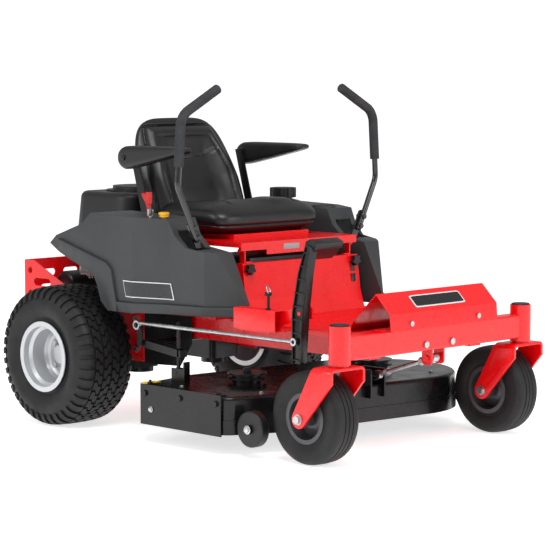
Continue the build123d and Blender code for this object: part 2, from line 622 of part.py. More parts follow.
def lever_base(side):
    """Block that rocks fore and aft on the stanchion pin and carries the in-and-out pivot."""
    x = side * lever_x
    with BuildPart() as piece:
        block(x - 17, x + 17, lever_y - 14, lever_y + 14, lever_z - 18, lever_in_z - 15)
        for end in (-1, 1):
            y0 = lever_y + end * ear_gap
            block(x - 9, x + 9, y0, y0 + end * 8, lever_z, lever_in_z + 9)
        disc((x - 20, lever_y, lever_z), (1, 0, 0), lever_pin_r + running_fit, 40.0, Mode.SUBTRACT)
        disc((x, lever_y - 13, lever_in_z), (0, 1, 0), lap_pin_r, 26.0)
        fillet(piece.edges().filter_by(Axis.Y).group_by(Axis.Z)[-1], radius=5.0)
    return piece


def lever_path(side):
    """Centre line of a lap bar tube, from its foot out and up, then in over the lap."""
    k = kp_y
    return FilletPolyline((side * 366, tube_y, 624), (side * 449, tube_y, 794), (side * 434, tube_y, 1015),
                          (side * 280, tube_y, 1097), radius=(70, 60))


def lap_bar(side):
    x = side * lever_x
    with BuildPart() as piece:
        with BuildLine() as route:
            lever_path(side)
        with BuildSketch(Plane(origin=route.line @ 0, z_dir=route.line % 0)):
            Circle(lever_tube_r)
        sweep()
        with BuildSketch(Plane(origin=(0, lap_y0, 0), x_dir=(1, 0, 0), z_dir=(0, -1, 0))) as foot:
            with Locations((x, lever_in_z)):
                Circle(13.0)
            with Locations((side * 388, 676)):
                Circle(12.0)
            make_hull()
        extrude(foot.sketch, amount=-lap_t)
        disc((x, lap_y0 - 1, lever_in_z), (0, 1, 0), lap_pin_r + running_fit, lap_t + 2, Mode.SUBTRACT)
        for x1, z1 in ((383, 667), (368, 636)):
            hex_head((side * x1, tube_y - lever_tube_r + 1, z1), (0, -1, 0), 9.0, 6.0)
            hex_head((side * x1, lap_y0 + lap_t, z1), (0, 1, 0), 9.0, 6.0)
    return piece


def lever_grip(side):
    """Foam grip that covers the upper bend and closes over the end of the tube."""
    with BuildPart() as piece:
        with BuildLine(mode=Mode.PRIVATE) as tube:
            lever_path(side)
        start = Vector(side * 444.7, tube_y, 858.0)
        with BuildLine() as route:
            FilletPolyline((start.X, tube_y, start.Z), (side * 434, tube_y, 1015), (side * 276, tube_y, 1099.1),
                           radius=60)
        with BuildSketch(Plane(origin=route.line @ 0, z_dir=route.line % 0)):
            Circle(grip_r)
        sweep()
        fillet(piece.edges().group_by(Axis.X)[0 if side > 0 else -1], radius=6.0)
        bar = lap_bar(side).part
        add(bar, mode=Mode.SUBTRACT)
    return piece


for side in (-1, 1):
    save(lever_base(side), f"lever_base_{side_name(side)}")
    save(lap_bar(side), f"lap_bar_{side_name(side)}")
    save(lever_grip(side), f"lever_grip_{side_name(side)}")

# ---- engine -------------------------------------------------------------------------
deck_plate = rail_top - 5.0
case_top = 590.0
filter_way = Vector(-1, -0.45, 0).normalized()
filter_seat = Vector(0, engine_y, 430.0) + filter_way * 138.0
with BuildPart() as engine_block:
    disc((0, engine_y, deck_plate), (0, 0, 1), 150.0, 16.0)
    disc((0, engine_y, deck_plate + 16), (0, 0, 1), 128.0, case_top - deck_plate - 16)
    disc((0, engine_y, deck_plate + 1), (0, 0, -1), 14.0, 150.0)
    disc((0, engine_y, 430.0), filter_way, 26.0, 138.0)
    for side in (-1, 1):
        lie = Plane(origin=(side * 60, engine_y + 60, 512.0), z_dir=(side, 0.75, 0))
        with BuildSketch(lie) as bore:
            RectangleRounded(110, 120, 14)
        extrude(bore.sketch, amount=110.0)
        for k in range(6):
            fin = lie.offset(48.0 + 10.0 * k)
            with BuildSketch(fin) as plate:
                RectangleRounded(136, 136, 18)
            extrude(plate.sketch, amount=4.0)
        with BuildSketch(lie.offset(110.0)) as cover:
            RectangleRounded(96, 112, 12)
        extrude(cover.sketch, amount=20.0)
save(engine_block, "engine_block")

with BuildPart() as oil_filter:
    disc(filter_seat + filter_way * 10.0, filter_way, 36.0, 72.0)
    fillet(oil_filter.edges().sort_by(Axis.X)[0], radius=6.0)
    disc(filter_seat, filter_way, 20.0, 12.0)
save(oil_filter, "oil_filter")

shroud_top = 742.0
with BuildPart() as engine_shroud:
    with BuildSketch(Plane.XY.offset(case_top)) as base:
        with Locations((0, engine_y + 12)):
            RectangleRounded(380, 330, 90)
    extrude(base.sketch, amount=shroud_top - case_top, taper=6)
    fillet(engine_shroud.faces().sort_by(Axis.Z)[-1].edges(), radius=22.0)
    disc((0, engine_y, case_top), (0, 0, 1), 118.0, shroud_top - case_top - 14, Mode.SUBTRACT)
    disc((0, engine_y, case_top), (0, 0, 1), 105.0, 200.0, Mode.SUBTRACT)
save(engine_shroud, "engine_shroud")

with BuildPart() as intake_grille:
    disc((0, engine_y, shroud_top), (0, 0, 1), 122.0, 5.0)
    disc((0, engine_y, shroud_top - 8), (0, 0, 1), 104.8, 8.0)
    disc((0, engine_y, shroud_top + 4), (0, 0, 1), 100.0, 14.0)
    disc((0, engine_y, shroud_top - 9), (0, 0, 1), 92.0, 21.0, Mode.SUBTRACT)
    with BuildSketch(Plane.XY.offset(shroud_top + 8)) as slots:
        with PolarLocations(66.0, 24):
            SlotOverall(44, 6)
    extrude(slots.sketch, amount=20.0, mode=Mode.SUBTRACT)
save(intake_grille, "intake_grille")

guard_half = 300.0
guard_front = axle_y + 200.0
guard_low = 352.0
guard_top = 505.0
muffler_y = engine_y + 190.0
with BuildPart() as muffler:
    disc((-175, muffler_y + 24, 416.0), (1, 0, 0), 44.0, 350.0)
    fillet(muffler.edges(), radius=12.0)
    disc((-95, muffler_y + 22, 385.0), (0, 0, -1), 14.0, 60.0)
    for side in (-1, 1):
        block(side * 152, side * 172, rail_back - 36, muffler_y + 40, deck_plate, deck_plate + 5)
save(muffler, "muffler")

with BuildPart() as rear_guard:
    for side in (-1, 1):
        wall = side * guard_half
        side_profile([(guard_front, guard_low + 8), (guard_front + 10, guard_low), (end_y, guard_low),
                      (end_y, guard_top), (end_y - 50, guard_top), (guard_front, 432.0)],
                     wall, wall - side * 4.0)
        with BuildSketch(Plane(origin=(wall + side, 0, 0), x_dir=(0, 1, 0), z_dir=(1, 0, 0))) as holes:
            with Locations((end_y - 95, 432.0)):
                SlotOverall(90, 26)
            with Locations((end_y - 170, 392.0), (end_y - 30, 470.0), (end_y - 30, 392.0)):
                Circle(11.0)
        extrude(holes.sketch, amount=-side * 6.0, mode=Mode.SUBTRACT)
        block(wall, side * (rail_x + 5), guard_front + 4, rail_back, rail_top, rail_top + 4)
    block(-guard_half, guard_half, end_y - 4, end_y, guard_low, guard_top)
    with BuildSketch(Plane(origin=(0, end_y + 1, 0), x_dir=(1, 0, 0), z_dir=(0, -1, 0))) as rear_holes:
        with GridLocations(100, 52, 5, 2):
            SlotOverall(64, 24)
    extrude(rear_holes.sketch.moved(Location((0, 0, (guard_low + guard_top) / 2))), amount=8.0,
            mode=Mode.SUBTRACT)
save(rear_guard, "rear_guard")

# ---- mower deck ---------------------------------------------------------------------
deck_left_y = kp_y + 488.0
deck_right_y = kp_y + 548.0
deck_side_x = 526.0
corner_r = 58.0
spindle_r = 12.0
hanger_x = 398.0
hanger_r = 6.0
rear_hang_y = kp_y + 714.0
gauge_r = 55.0
gauge_x = {-1: 484.0, 1: 516.0}
gauge_y = kp_y + 289.0
gauge_z = 90.0
rod_pin_y = kp_y + 250.0
rod_pin_z = 205.0
rod_r = 7.0
deck_pin_r = 5.0


def deck_outline(inset):
    with BuildSketch(Plane.XY.offset(deck_rim_z)) as outline:
        with Locations((deck_x, deck_left_y)):
            Circle(deck_r - inset)
        with Locations((-deck_x, deck_right_y)):
            Circle(deck_r - inset)
        with Locations((-deck_side_x + corner_r, kp_y + 412), (-deck_side_x + corner_r, kp_y + 722)):
            Circle(corner_r - inset)
        make_hull()
    return outline.sketch


with BuildPart() as deck_shell:
    extrude(deck_outline(0), amount=deck_top_z - deck_rim_z)
    fillet(deck_shell.faces().sort_by(Axis.Z)[-1].edges(), radius=12.0)
    extrude(deck_outline(-skirt_step), amount=skirt_h)
    extrude(deck_outline(deck_t), amount=deck_top_z - deck_rim_z - deck_t, mode=Mode.SUBTRACT)
    for x, y in ((deck_x, deck_left_y), (-deck_x, deck_right_y)):
        disc((x, y, deck_top_z - 6), (0, 0, 1), 48.0, 18.0)
        disc((x, y, deck_top_z - 12), (0, 0, 1), 26.0, 24.0)
        disc((x, y, deck_top_z - 20), (0, 0, 1), spindle_r + running_fit, 60.0, Mode.SUBTRACT)
    for side in (-1, 1):
        hx = side * hanger_x
        block(hx - 12, hx + 12, rear_hang_y - 40, rear_hang_y - 35, deck_top_z - 2, 246.0)
        block(hx - 12, hx - 8, rear_hang_y - 40, rear_hang_y + 20, deck_top_z - 2, 224.0)
        block(hx + 8, hx + 12, rear_hang_y - 40, rear_hang_y + 20, deck_top_z - 2, 224.0)
        disc((hx, rear_hang_y, 212.0), (0, 0, 1), hanger_r, 157.0)
        disc((hx - 13, rear_hang_y, 212.0), (1, 0, 0), 7.0, 26.0)
        hex_head((hx, rear_hang_y, 350.0), (0, 0, 1), 11.0, 10.0)
        gx = side * (gauge_x[side] - 24.0)
        block(gx, gx - side * 5, gauge_y - 18, kp_y + (364 if side > 0 else 372), gauge_z - 18, 120.0)
        disc((gx, gauge_y, gauge_z), (side, 0, 0), 8.0, 46.0)
        disc((gx + side * 42.0, gauge_y, gauge_z), (side, 0, 0), 14.0, 6.0)
    for x in (-34, 28):
        block(x, x + 6, rod_pin_y - 22, rod_pin_y + 70, deck_top_z - 40, rod_pin_z + 24)
    disc((-34, rod_pin_y, rod_pin_z), (1, 0, 0), deck_pin_r, 68.0)
    block(-60, 60, rod_pin_y + 25, rod_pin_y + 120, deck_top_z - 4, deck_top_z + 3)
save(deck_shell, "deck_shell")

with BuildPart() as deck_cover:
    cover_x = -deck_side_x - skirt_step
    block(cover_x - 4, cover_x, kp_y + 378, kp_y + 742, deck_rim_z - 4, deck_top_z + 6)
    block(cover_x - 4, cover_x + 34, kp_y + 392, kp_y + 728, deck_top_z, deck_top_z + 4)
    for y in (kp_y + 400, kp_y + 560, kp_y + 720):
        hex_head((cover_x - 4, y, deck_top_z - 22), (-1, 0, 0), 10.0, 6.0)
    for y in (kp_y + 404, kp_y + 716):
        disc((cover_x + 14, y, deck_top_z + 4), (0, 0, 1), 4.0, 14.0)
        hex_head((cover_x + 14, y, deck_top_z + 4), (0, 0, 1), 9.0, 7.0)
save(deck_cover, "deck_cover")


def gauge_wheel(side):
    x0 = side * (gauge_x[side] - 24.0 + 8.0)
    with BuildPart() as piece:
        disc((x0, gauge_y, gauge_z), (side, 0, 0), gauge_r, 32.0)
        fillet(piece.edges(), radius=5.0)
        disc((x0 - side, gauge_y, gauge_z), (side, 0, 0), 8.0 + running_fit, 40.0, Mode.SUBTRACT)
    return piece


blade_t = 6.0
blade_z = deck_rim_z + 10.0


def spindle(side):
    """Blade, spindle shaft and pulley."""
    x, y = side * deck_x, deck_left_y if side > 0 else deck_right_y
    with BuildPart() as piece:
        disc((x, y, blade_z), (0, 0, 1), spindle_r, deck_top_z + 48.0 - blade_z)
        block(x - 30, x + 30, y - blade_r + 4, y + blade_r - 4, blade_z, blade_z + blade_t)
        disc((x, y, deck_top_z + 14.0), (0, 0, 1), 62.0, 5.0)
        disc((x, y, deck_top_z + 19.0), (0, 0, 1), 50.0, 10.0)
        disc((x, y, deck_top_z + 29.0), (0, 0, 1), 62.0, 5.0)
        hex_head((x, y, blade_z - 9.0), (0, 0, 1), 16.0, 9.5)
    return piece


for side in (-1, 1):
    save(gauge_wheel(side), f"gauge_wheel_{side_name(side)}")
    save(spindle(side), f"blade_spindle_{side_name(side)}")

with BuildPart() as deck_rod:
    reach = Vector(0, rod_pin_y - clevis_y, rod_pin_z - clevis_z)
    way = reach.normalized()
    head = Vector(0, clevis_y, clevis_z)
    foot = Vector(0, rod_pin_y, rod_pin_z)
    disc((-13, clevis_y, clevis_z), (1, 0, 0), 14.0, 26.0)
    disc(head + way * 10, way, rod_r, reach.length - 20)
    hex_head(head + way * 40, way, 13.0, 14.0)
    hex_head(head + way * (reach.length - 70), way, 13.0, 14.0)
    with BuildSketch(Plane(origin=(-8, 0, 0), x_dir=(0, 1, 0), z_dir=(1, 0, 0))) as eye:
        with Locations((foot.Y, foot.Z), (foot.Y - 22 * way.Y, foot.Z - 22 * way.Z)):
            Circle(14.0)
        make_hull()
    extrude(eye.sketch, amount=16.0)
    with BuildSketch(Plane(origin=(-9, 0, 0), x_dir=(0, 1, 0), z_dir=(1, 0, 0))) as slot:
        with Locations((foot.Y, foot.Z), (foot.Y - 19 * way.Y, foot.Z - 19 * way.Z)):
            Circle(deck_pin_r + 0.9)
        make_hull()
    extrude(slot.sketch, amount=18.0, mode=Mode.SUBTRACT)
    disc((-14, clevis_y, clevis_z), (1, 0, 0), clevis_pin_r + running_fit, 28.0, Mode.SUBTRACT)
save(deck_rod, "deck_rod")

# ---- deck lift ----------------------------------------------------------------------
pedal_pin = (kp_y + 155.0, 442.0)
pedal_x = -425.0
pedal_w = 26.0
rod_hole = (kp_y + 166.0, 358.0)
crank_r = 60.0
pin_r = 6.0

with BuildPart() as lift_bracket:
    block(-420, -rail_out, kp_y + 285, kp_y + 420, rail_top - 4, rail_top)
    for x in (-420, -383):
        block(x, x + 3, kp_y + 262, kp_y + 440, rail_top, 440.0)
    block(-420, -380, kp_y + 262, kp_y + 440, 437.0, 440.0)
    with BuildSketch(Plane.XY.offset(430.0)) as slots:
        with Locations(*[(-400, kp_y + 285 + 26 * i) for i in range(6)]):
            SlotOverall(26, 10)
    extrude(slots.sketch, amount=20.0, mode=Mode.SUBTRACT)
    side_profile([(kp_y + 140, 424), (kp_y + 168, 424), (kp_y + 275, 392), (kp_y + 275, 436),
                  (kp_y + 168, 460), (kp_y + 140, 460)], -386.0, -380.0)
    disc((-384, *pedal_pin), (-1, 0, 0), pin_r, 42.0)
    disc((-380, kp_y + 270, 432.0), (-1, 0, 0), 4.0, 0.5)
save(lift_bracket, "lift_bracket")

with BuildPart() as lift_pedal:
    walls = [(kp_y + 128, 648), (kp_y + 104, 640), (kp_y + 120, 560), (kp_y + 136, 442), (kp_y + 148, 292),
             (kp_y + 180, 292), (kp_y + 180, 442), (kp_y + 156, 560)]
    side_profile(walls, pedal_x, pedal_x + pedal_w)
    fillet(lift_pedal.edges().filter_by(Axis.X), radius=6.0)
    side_profile([(kp_y + 100, 632), (kp_y + 92, 652), (kp_y + 118, 664), (kp_y + 136, 656),
                  (kp_y + 150, 604), (kp_y + 140, 600)], pedal_x + 8, -301.0)
    fillet(lift_pedal.edges().filter_by(Axis.X).group_by(Axis.Z)[-1], radius=4.0)
    side_profile([(kp_y + 60, 640), (kp_y + 109, 632), (kp_y + 132, 600), (kp_y + 135, 560),
                  (kp_y + 60, 560)], pedal_x + pedal_w, -290.0, Mode.SUBTRACT)
    disc((pedal_x - 1, *pedal_pin), (1, 0, 0), pin_r + running_fit, pedal_w + 2, Mode.SUBTRACT)
    disc((pedal_x - 10, *rod_hole), (1, 0, 0), pin_r, 12.0)
save(lift_pedal, "lift_pedal")

rod_x = -436.0
rod_slot = pin_r + 3.0
with BuildPart() as lift_rod:
    disc((rod_x, rod_hole[0] + 8, rod_hole[1]), (0, 1, 0), pin_r, lift_y - rod_hole[0] - 20)
    disc((rod_x - 4, *rod_hole), (1, 0, 0), 12.0, 8.0)
    disc((rod_x - 4, lift_y, lift_z + crank_r), (1, 0, 0), 15.0, 8.0)
    disc((rod_x - 7, *rod_hole), (1, 0, 0), pin_r + running_fit, 14.0, Mode.SUBTRACT)
    disc((rod_x - 7, lift_y, lift_z + crank_r), (1, 0, 0), rod_slot, 14.0, Mode.SUBTRACT)
    block(rod_x - 3, rod_x + 3, lift_y - 22, lift_y - 12, rod_hole[1] - 8, lift_z + crank_r + 6)
save(lift_rod, "lift_rod")

with BuildPart() as lift_shaft:
    disc((-428, lift_y, lift_z), (1, 0, 0), lift_r, 828.0 + 12.0)
    side_profile([(lift_y - 11, lift_z), (lift_y - 9, lift_z + crank_r + 9), (lift_y + 9, lift_z + crank_r + 9),
                  (lift_y + 11, lift_z)], -426.0, -418.0)
    disc((-418, lift_y, lift_z + crank_r), (-1, 0, 0), pin_r, 26.0)
    for side in (-1, 1):
        for gap in (-1, 1):
            x0 = side * hanger_x + gap * 15.0
            side_profile([(lift_y, lift_z - 12), (lift_y, lift_z + 12), (rear_hang_y - 12, lift_z - 6),
                          (rear_hang_y - 12, lift_z - 30)], x0 - 2.5, x0 + 2.5)
        hx = side * hanger_x
        block(hx - 15, hx + 15, rear_hang_y + 16, rear_hang_y + 24, lift_z - 28, lift_z - 8)
        block(hx - 15, hx + 15, rear_hang_y - 24, rear_hang_y - 16, lift_z - 30, lift_z - 8)
        disc((hx + 12, rear_hang_y - 14, lift_z - 18), (1, 0, 0), 9.0, 4.0)
save(lift_shaft, "lift_shaft")

with BuildPart() as height_pin:
    disc((-398, kp_y + 311, 420.0), (0, 0, 1), 4.5, 62.0)
    disc((-398, kp_y + 311, 482.0), (0, 0, 1), 11.0, 10.0)
    disc((-398, kp_y + 311, 440.0 + side_gap), (0, 0, 1), 9.0, 3.0)
save(height_pin, "height_pin")

# ---- fasteners ----------------------------------------------------------------------
with BuildPart() as frame_bolts:
    for side in (-1, 1):
        hex_head((side * 153, rest_front + 0.8, 407.0), (0, -1, 0), 9.0, rest_front + 0.8 - kp_y + front_overhang)
        hex_head((side * 60, beam_y0, beam_z + 20), (0, -1, 0), 11.0, 6.0)
        for y in (axle_y - 130, axle_y + 130):
            hex_head((side * (rail_out + plate_t), y, rail_z + 40), (side, 0, 0), 12.0, 7.0)
            hex_head((side * (rail_out + plate_t), y, rail_z - 60), (side, 0, 0), 12.0, 7.0)
        hex_head((side * 280, guard_front + 25, rail_top + 4), (0, 0, 1), 10.0, 6.0)
        hex_head((side * 110, engine_y - 115, deck_plate), (0, 0, 1), 9.0, 6.0)
        for y in (kp_y + 180, kp_y + 480):
            disc((side * 230, y, floor_z), (0, 0, 1), 9.0, 4.0)
save(frame_bolts, "frame_bolts")
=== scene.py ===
"""Zero turn mower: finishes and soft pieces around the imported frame. Metres, +Z up, front towards -Y."""
import bpy
import json
import math
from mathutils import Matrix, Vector

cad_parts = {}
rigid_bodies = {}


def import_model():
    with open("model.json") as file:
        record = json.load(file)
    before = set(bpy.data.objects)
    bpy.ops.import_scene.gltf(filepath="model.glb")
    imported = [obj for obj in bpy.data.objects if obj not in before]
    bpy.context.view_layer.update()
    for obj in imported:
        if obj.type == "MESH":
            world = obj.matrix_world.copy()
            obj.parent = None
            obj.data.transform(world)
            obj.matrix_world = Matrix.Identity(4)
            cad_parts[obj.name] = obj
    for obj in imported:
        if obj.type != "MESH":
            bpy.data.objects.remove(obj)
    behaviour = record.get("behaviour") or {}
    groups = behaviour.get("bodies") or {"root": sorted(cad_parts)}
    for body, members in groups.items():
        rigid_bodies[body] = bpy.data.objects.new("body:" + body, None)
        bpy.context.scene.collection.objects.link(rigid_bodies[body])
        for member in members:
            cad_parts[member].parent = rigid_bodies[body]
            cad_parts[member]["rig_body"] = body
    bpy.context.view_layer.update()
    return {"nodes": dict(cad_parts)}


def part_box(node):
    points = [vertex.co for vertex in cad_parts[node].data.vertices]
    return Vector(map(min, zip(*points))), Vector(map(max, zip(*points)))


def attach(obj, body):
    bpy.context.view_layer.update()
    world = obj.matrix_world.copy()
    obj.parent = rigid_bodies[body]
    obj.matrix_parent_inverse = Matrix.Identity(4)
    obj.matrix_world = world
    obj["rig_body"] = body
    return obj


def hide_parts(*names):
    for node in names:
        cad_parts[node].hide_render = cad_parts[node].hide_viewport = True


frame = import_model()
NODE = frame["nodes"]


# ---- colours and shader helpers ---------------------------------------------------------
def hex_colour(code):
    """sRGB hex to linear RGBA."""
    channels = [int(code[i:i + 2], 16) / 255 for i in (0, 2, 4)]
    linear = [c / 12.92 if c <= 0.04045 else ((c + 0.055) / 1.055) ** 2.4 for c in channels]
    return (*linear, 1.0)


def add_node(tree, kind, settings=None, **links):
    """Adds a node, sets its attributes and named inputs, and links sockets given as links."""
    node = tree.nodes.new(kind)
    for key, value in (settings or {}).items():
        if key.startswith("in:"):
            node.inputs[key[3:]].default_value = value
        else:
            setattr(node, key, value)
    for key, socket in links.items():
        tree.links.new(socket, node.inputs[key.replace("_", " ")])
    return node


def new_material(name, colour, roughness, metallic=0.0, **more):
    """A Principled material with its uniform values on the shader's own sockets."""
    mat = bpy.data.materials.new(name)
    mat.use_nodes = True
    tree = mat.node_tree
    shader = tree.nodes["Principled BSDF"]
    shader.inputs["Base Color"].default_value = hex_colour(colour)
    shader.inputs["Roughness"].default_value = roughness
    shader.inputs["Metallic"].default_value = metallic
    for key, value in more.items():
        shader.inputs[key.replace("_", " ")].default_value = value
    return mat, tree, shader


def noise_bump(tree, shader, size_mm, strength, height_mm, detail=3.0, edge_mm=0.0):
    """Fine surface relief of a given grain size; edge_mm softens hard edges as a real bend has."""
    coords = add_node(tree, "ShaderNodeTexCoord")
    noise = add_node(tree, "ShaderNodeTexNoise", {"in:Scale": 1000.0 / size_mm, "in:Detail": detail},
                     Vector=coords.outputs["Object"])
    bump = add_node(tree, "ShaderNodeBump", {"in:Strength": strength, "in:Distance": height_mm / 1000},
                    Height=noise.outputs["Fac"])
    if edge_mm:
        soft = add_node(tree, "ShaderNodeBevel", {"samples": 4, "in:Radius": edge_mm / 1000})
        tree.links.new(soft.outputs["Normal"], bump.inputs["Normal"])
    tree.links.new(bump.outputs["Normal"], shader.inputs["Normal"])
    return coords


def vary(tree, shader, coords, socket, size_mm, low, high):
    """Slow variation of a roughness or colour over the surface."""
    noise = add_node(tree, "ShaderNodeTexNoise", {"in:Scale": 1000.0 / size_mm, "in:Detail": 4.0},
                     Vector=coords.outputs["Object"])
    if isinstance(low, str):
        ramp = add_node(tree, "ShaderNodeValToRGB", None, Fac=noise.outputs["Fac"])
        ramp.color_ramp.elements[0].position = 0.3
        ramp.color_ramp.elements[1].position = 0.7
        ramp.color_ramp.elements[0].color = hex_colour(low)
        ramp.color_ramp.elements[1].color = hex_colour(high)
        tree.links.new(ramp.outputs["Color"], shader.inputs[socket])
    else:
        settings = {"in:From Min": 0.3, "in:From Max": 0.7, "in:To Min": low, "in:To Max": high}
        span = add_node(tree, "ShaderNodeMapRange", settings, Value=noise.outputs["Fac"])
        tree.links.new(span.outputs["Result"], shader.inputs[socket])


def powder_coat_red():
    """Gloss powder coat: faint orange peel under a glassy coat, drawn 5 mm across to show."""
    mat, tree, shader = new_material("powder_coat_red", "E20008", 0.3, Coat_Weight=0.22,
                                     Coat_Roughness=0.05)
    coords = noise_bump(tree, shader, 5.0, 0.05, 0.2, detail=1.0, edge_mm=1.2)
    vary(tree, shader, coords, "Base Color", 90.0, "DE0007", "E80009")
    vary(tree, shader, coords, "Roughness", 40.0, 0.24, 0.34)
    return mat


def black_coat(name="black_powder_coat", colour="0C0C0D", roughness=0.32):
    """Semi-gloss black powder coat on steel sheet, with dust dulling it in patches."""
    mat, tree, shader = new_material(name, colour, roughness, Coat_Weight=0.08, Coat_Roughness=0.2,
                                     Specular_IOR_Level=0.32)
    coords = noise_bump(tree, shader, 4.0, 0.06, 0.2, detail=1.0, edge_mm=1.0)
    vary(tree, shader, coords, "Roughness", 60.0, roughness - 0.06, roughness + 0.1)
    vary(tree, shader, coords, "Base Color", 120.0, colour, "131314")
    return mat


def moulded_grey():
    """Injection moulded polypropylene with a fine spark-eroded grain, about 0.8 mm."""
    mat, tree, shader = new_material("moulded_polypropylene_grey", "313335", 0.5, Specular_IOR_Level=0.45)
    coords = noise_bump(tree, shader, 0.9, 0.35, 0.25, detail=2.0, edge_mm=1.5)
    vary(tree, shader, coords, "Base Color", 150.0, "2F3133", "363839")
    vary(tree, shader, coords, "Roughness", 30.0, 0.47, 0.57)
    return mat


def moulded_black(name="moulded_polypropylene_black", colour="0E0E0F", roughness=0.45):
    """Black moulded plastic with a light grain."""
    mat, tree, shader = new_material(name, colour, roughness)
    coords = noise_bump(tree, shader, 1.0, 0.2, 0.2, edge_mm=1.0)
    vary(tree, shader, coords, "Roughness", 50.0, roughness - 0.06, roughness + 0.08)
    return mat


def gloss_black_tube():
    """Black gloss paint on drawn tube: sharp reflections, a trace of draw lines."""
    mat, tree, shader = new_material("gloss_black_enamel", "0B0B0C", 0.16, Coat_Weight=0.6,
                                     Coat_Roughness=0.05)
    coords = noise_bump(tree, shader, 3.0, 0.05, 0.2, edge_mm=0.8)
    vary(tree, shader, coords, "Roughness", 60.0, 0.12, 0.24)
    return mat


def vinyl():
    """Black upholstery vinyl with a leather-like grain, cells about 1.6 mm."""
    mat, tree, shader = new_material("black_vinyl", "0E0E10", 0.34, Specular_IOR_Level=0.5)
    coords = add_node(tree, "ShaderNodeTexCoord")
    cells = add_node(tree, "ShaderNodeTexVoronoi", {"feature": "DISTANCE_TO_EDGE", "in:Scale": 620.0},
                     Vector=coords.outputs["Object"])
    bump = add_node(tree, "ShaderNodeBump", {"in:Strength": 0.25, "in:Distance": 0.0004},
                    Height=cells.outputs["Distance"])
    tree.links.new(bump.outputs["Normal"], shader.inputs["Normal"])
    vary(tree, shader, coords, "Roughness", 70.0, 0.3, 0.42)
    vary(tree, shader, coords, "Base Color", 130.0, "0D0D0F", "131315")
    return mat


def foam_rubber():
    """Closed-cell foam sleeve: matt, with pores under a millimetre."""
    mat, tree, shader = new_material("foam_rubber", "303133", 0.82, Specular_IOR_Level=0.25)
    coords = noise_bump(tree, shader, 0.8, 0.5, 0.4, detail=5.0)
    vary(tree, shader, coords, "Base Color", 25.0, "2C2D2F", "37383A")
    return mat


def tyre_rubber():
    """Vulcanised rubber: dark, a little dusty, with a soft sheen."""
    mat, tree, shader = new_material("vulcanised_rubber", "0F0F10", 0.55, Specular_IOR_Level=0.4)
    coords = noise_bump(tree, shader, 1.6, 0.25, 0.4, detail=4.0)
    vary(tree, shader, coords, "Base Color", 80.0, "0D0D0E", "141415")
    vary(tree, shader, coords, "Roughness", 60.0, 0.5, 0.7)
    return mat


def silver_paint():
    """Aluminium-flake silver paint on pressed steel."""
    mat, tree, shader = new_material("silver_wheel_paint", "C4C6C9", 0.34, 0.55, Coat_Weight=0.3)
    coords = noise_bump(tree, shader, 1.2, 0.08, 0.15, edge_mm=1.5)
    vary(tree, shader, coords, "Roughness", 50.0, 0.3, 0.42)
    return mat


def dark_wheel_paint():
    """Charcoal paint on pressed steel."""
    mat, tree, shader = new_material("charcoal_wheel_paint", "4A4B4E", 0.4, 0.3)
    coords = noise_bump(tree, shader, 1.5, 0.1, 0.2, edge_mm=1.0)
    vary(tree, shader, coords, "Roughness", 50.0, 0.34, 0.48)
    return mat


def zinc_plate():
    """Clear zinc plating: bright metal with cloudy patches."""
    mat, tree, shader = new_material("zinc_plate", "BFC1C2", 0.3, 1.0)
    coords = noise_bump(tree, shader, 2.5, 0.08, 0.2, edge_mm=0.6)
    vary(tree, shader, coords, "Roughness", 15.0, 0.22, 0.4)
    vary(tree, shader, coords, "Base Color", 22.0, "AEB0B2", "C9CBCC")
    return mat


def cast_aluminium():
    """Die-cast aluminium: grey, slightly pitted skin."""
    mat, tree, shader = new_material("cast_aluminium", "9A9B9C", 0.48, 0.9)
    coords = noise_bump(tree, shader, 1.8, 0.4, 0.4, detail=5.0, edge_mm=1.5)
    vary(tree, shader, coords, "Roughness", 40.0, 0.4, 0.58)
    return mat


def plain_plastic(name, colour, roughness=0.35):
    """Small moulded knob."""
    mat, tree, shader = new_material(name, colour, roughness)
    coords = noise_bump(tree, shader, 1.5, 0.1, 0.2, edge_mm=0.8)
    vary(tree, shader, coords, "Roughness", 20.0, roughness - 0.05, roughness + 0.08)
    return mat


RED = powder_coat_red()
BLACK = black_coat()
DECK = black_coat("deck_black_enamel", "070708", 0.24)
GREY = moulded_grey()
PLASTIC = moulded_black()
TUBE = gloss_black_tube()
VINYL = vinyl()
FOAM = foam_rubber()
RUBBER = tyre_rubber()
SILVER = silver_paint()
CHARCOAL = dark_wheel_paint()
ZINC = zinc_plate()
CAST = cast_aluminium()
RED_KNOB = plain_plastic("red_knob_plastic", "C01010")
YELLOW = plain_plastic("yellow_knob_plastic", "E0A808")
WHITE_CAN = plain_plastic("white_filter_enamel", "D5D6D6", 0.3)

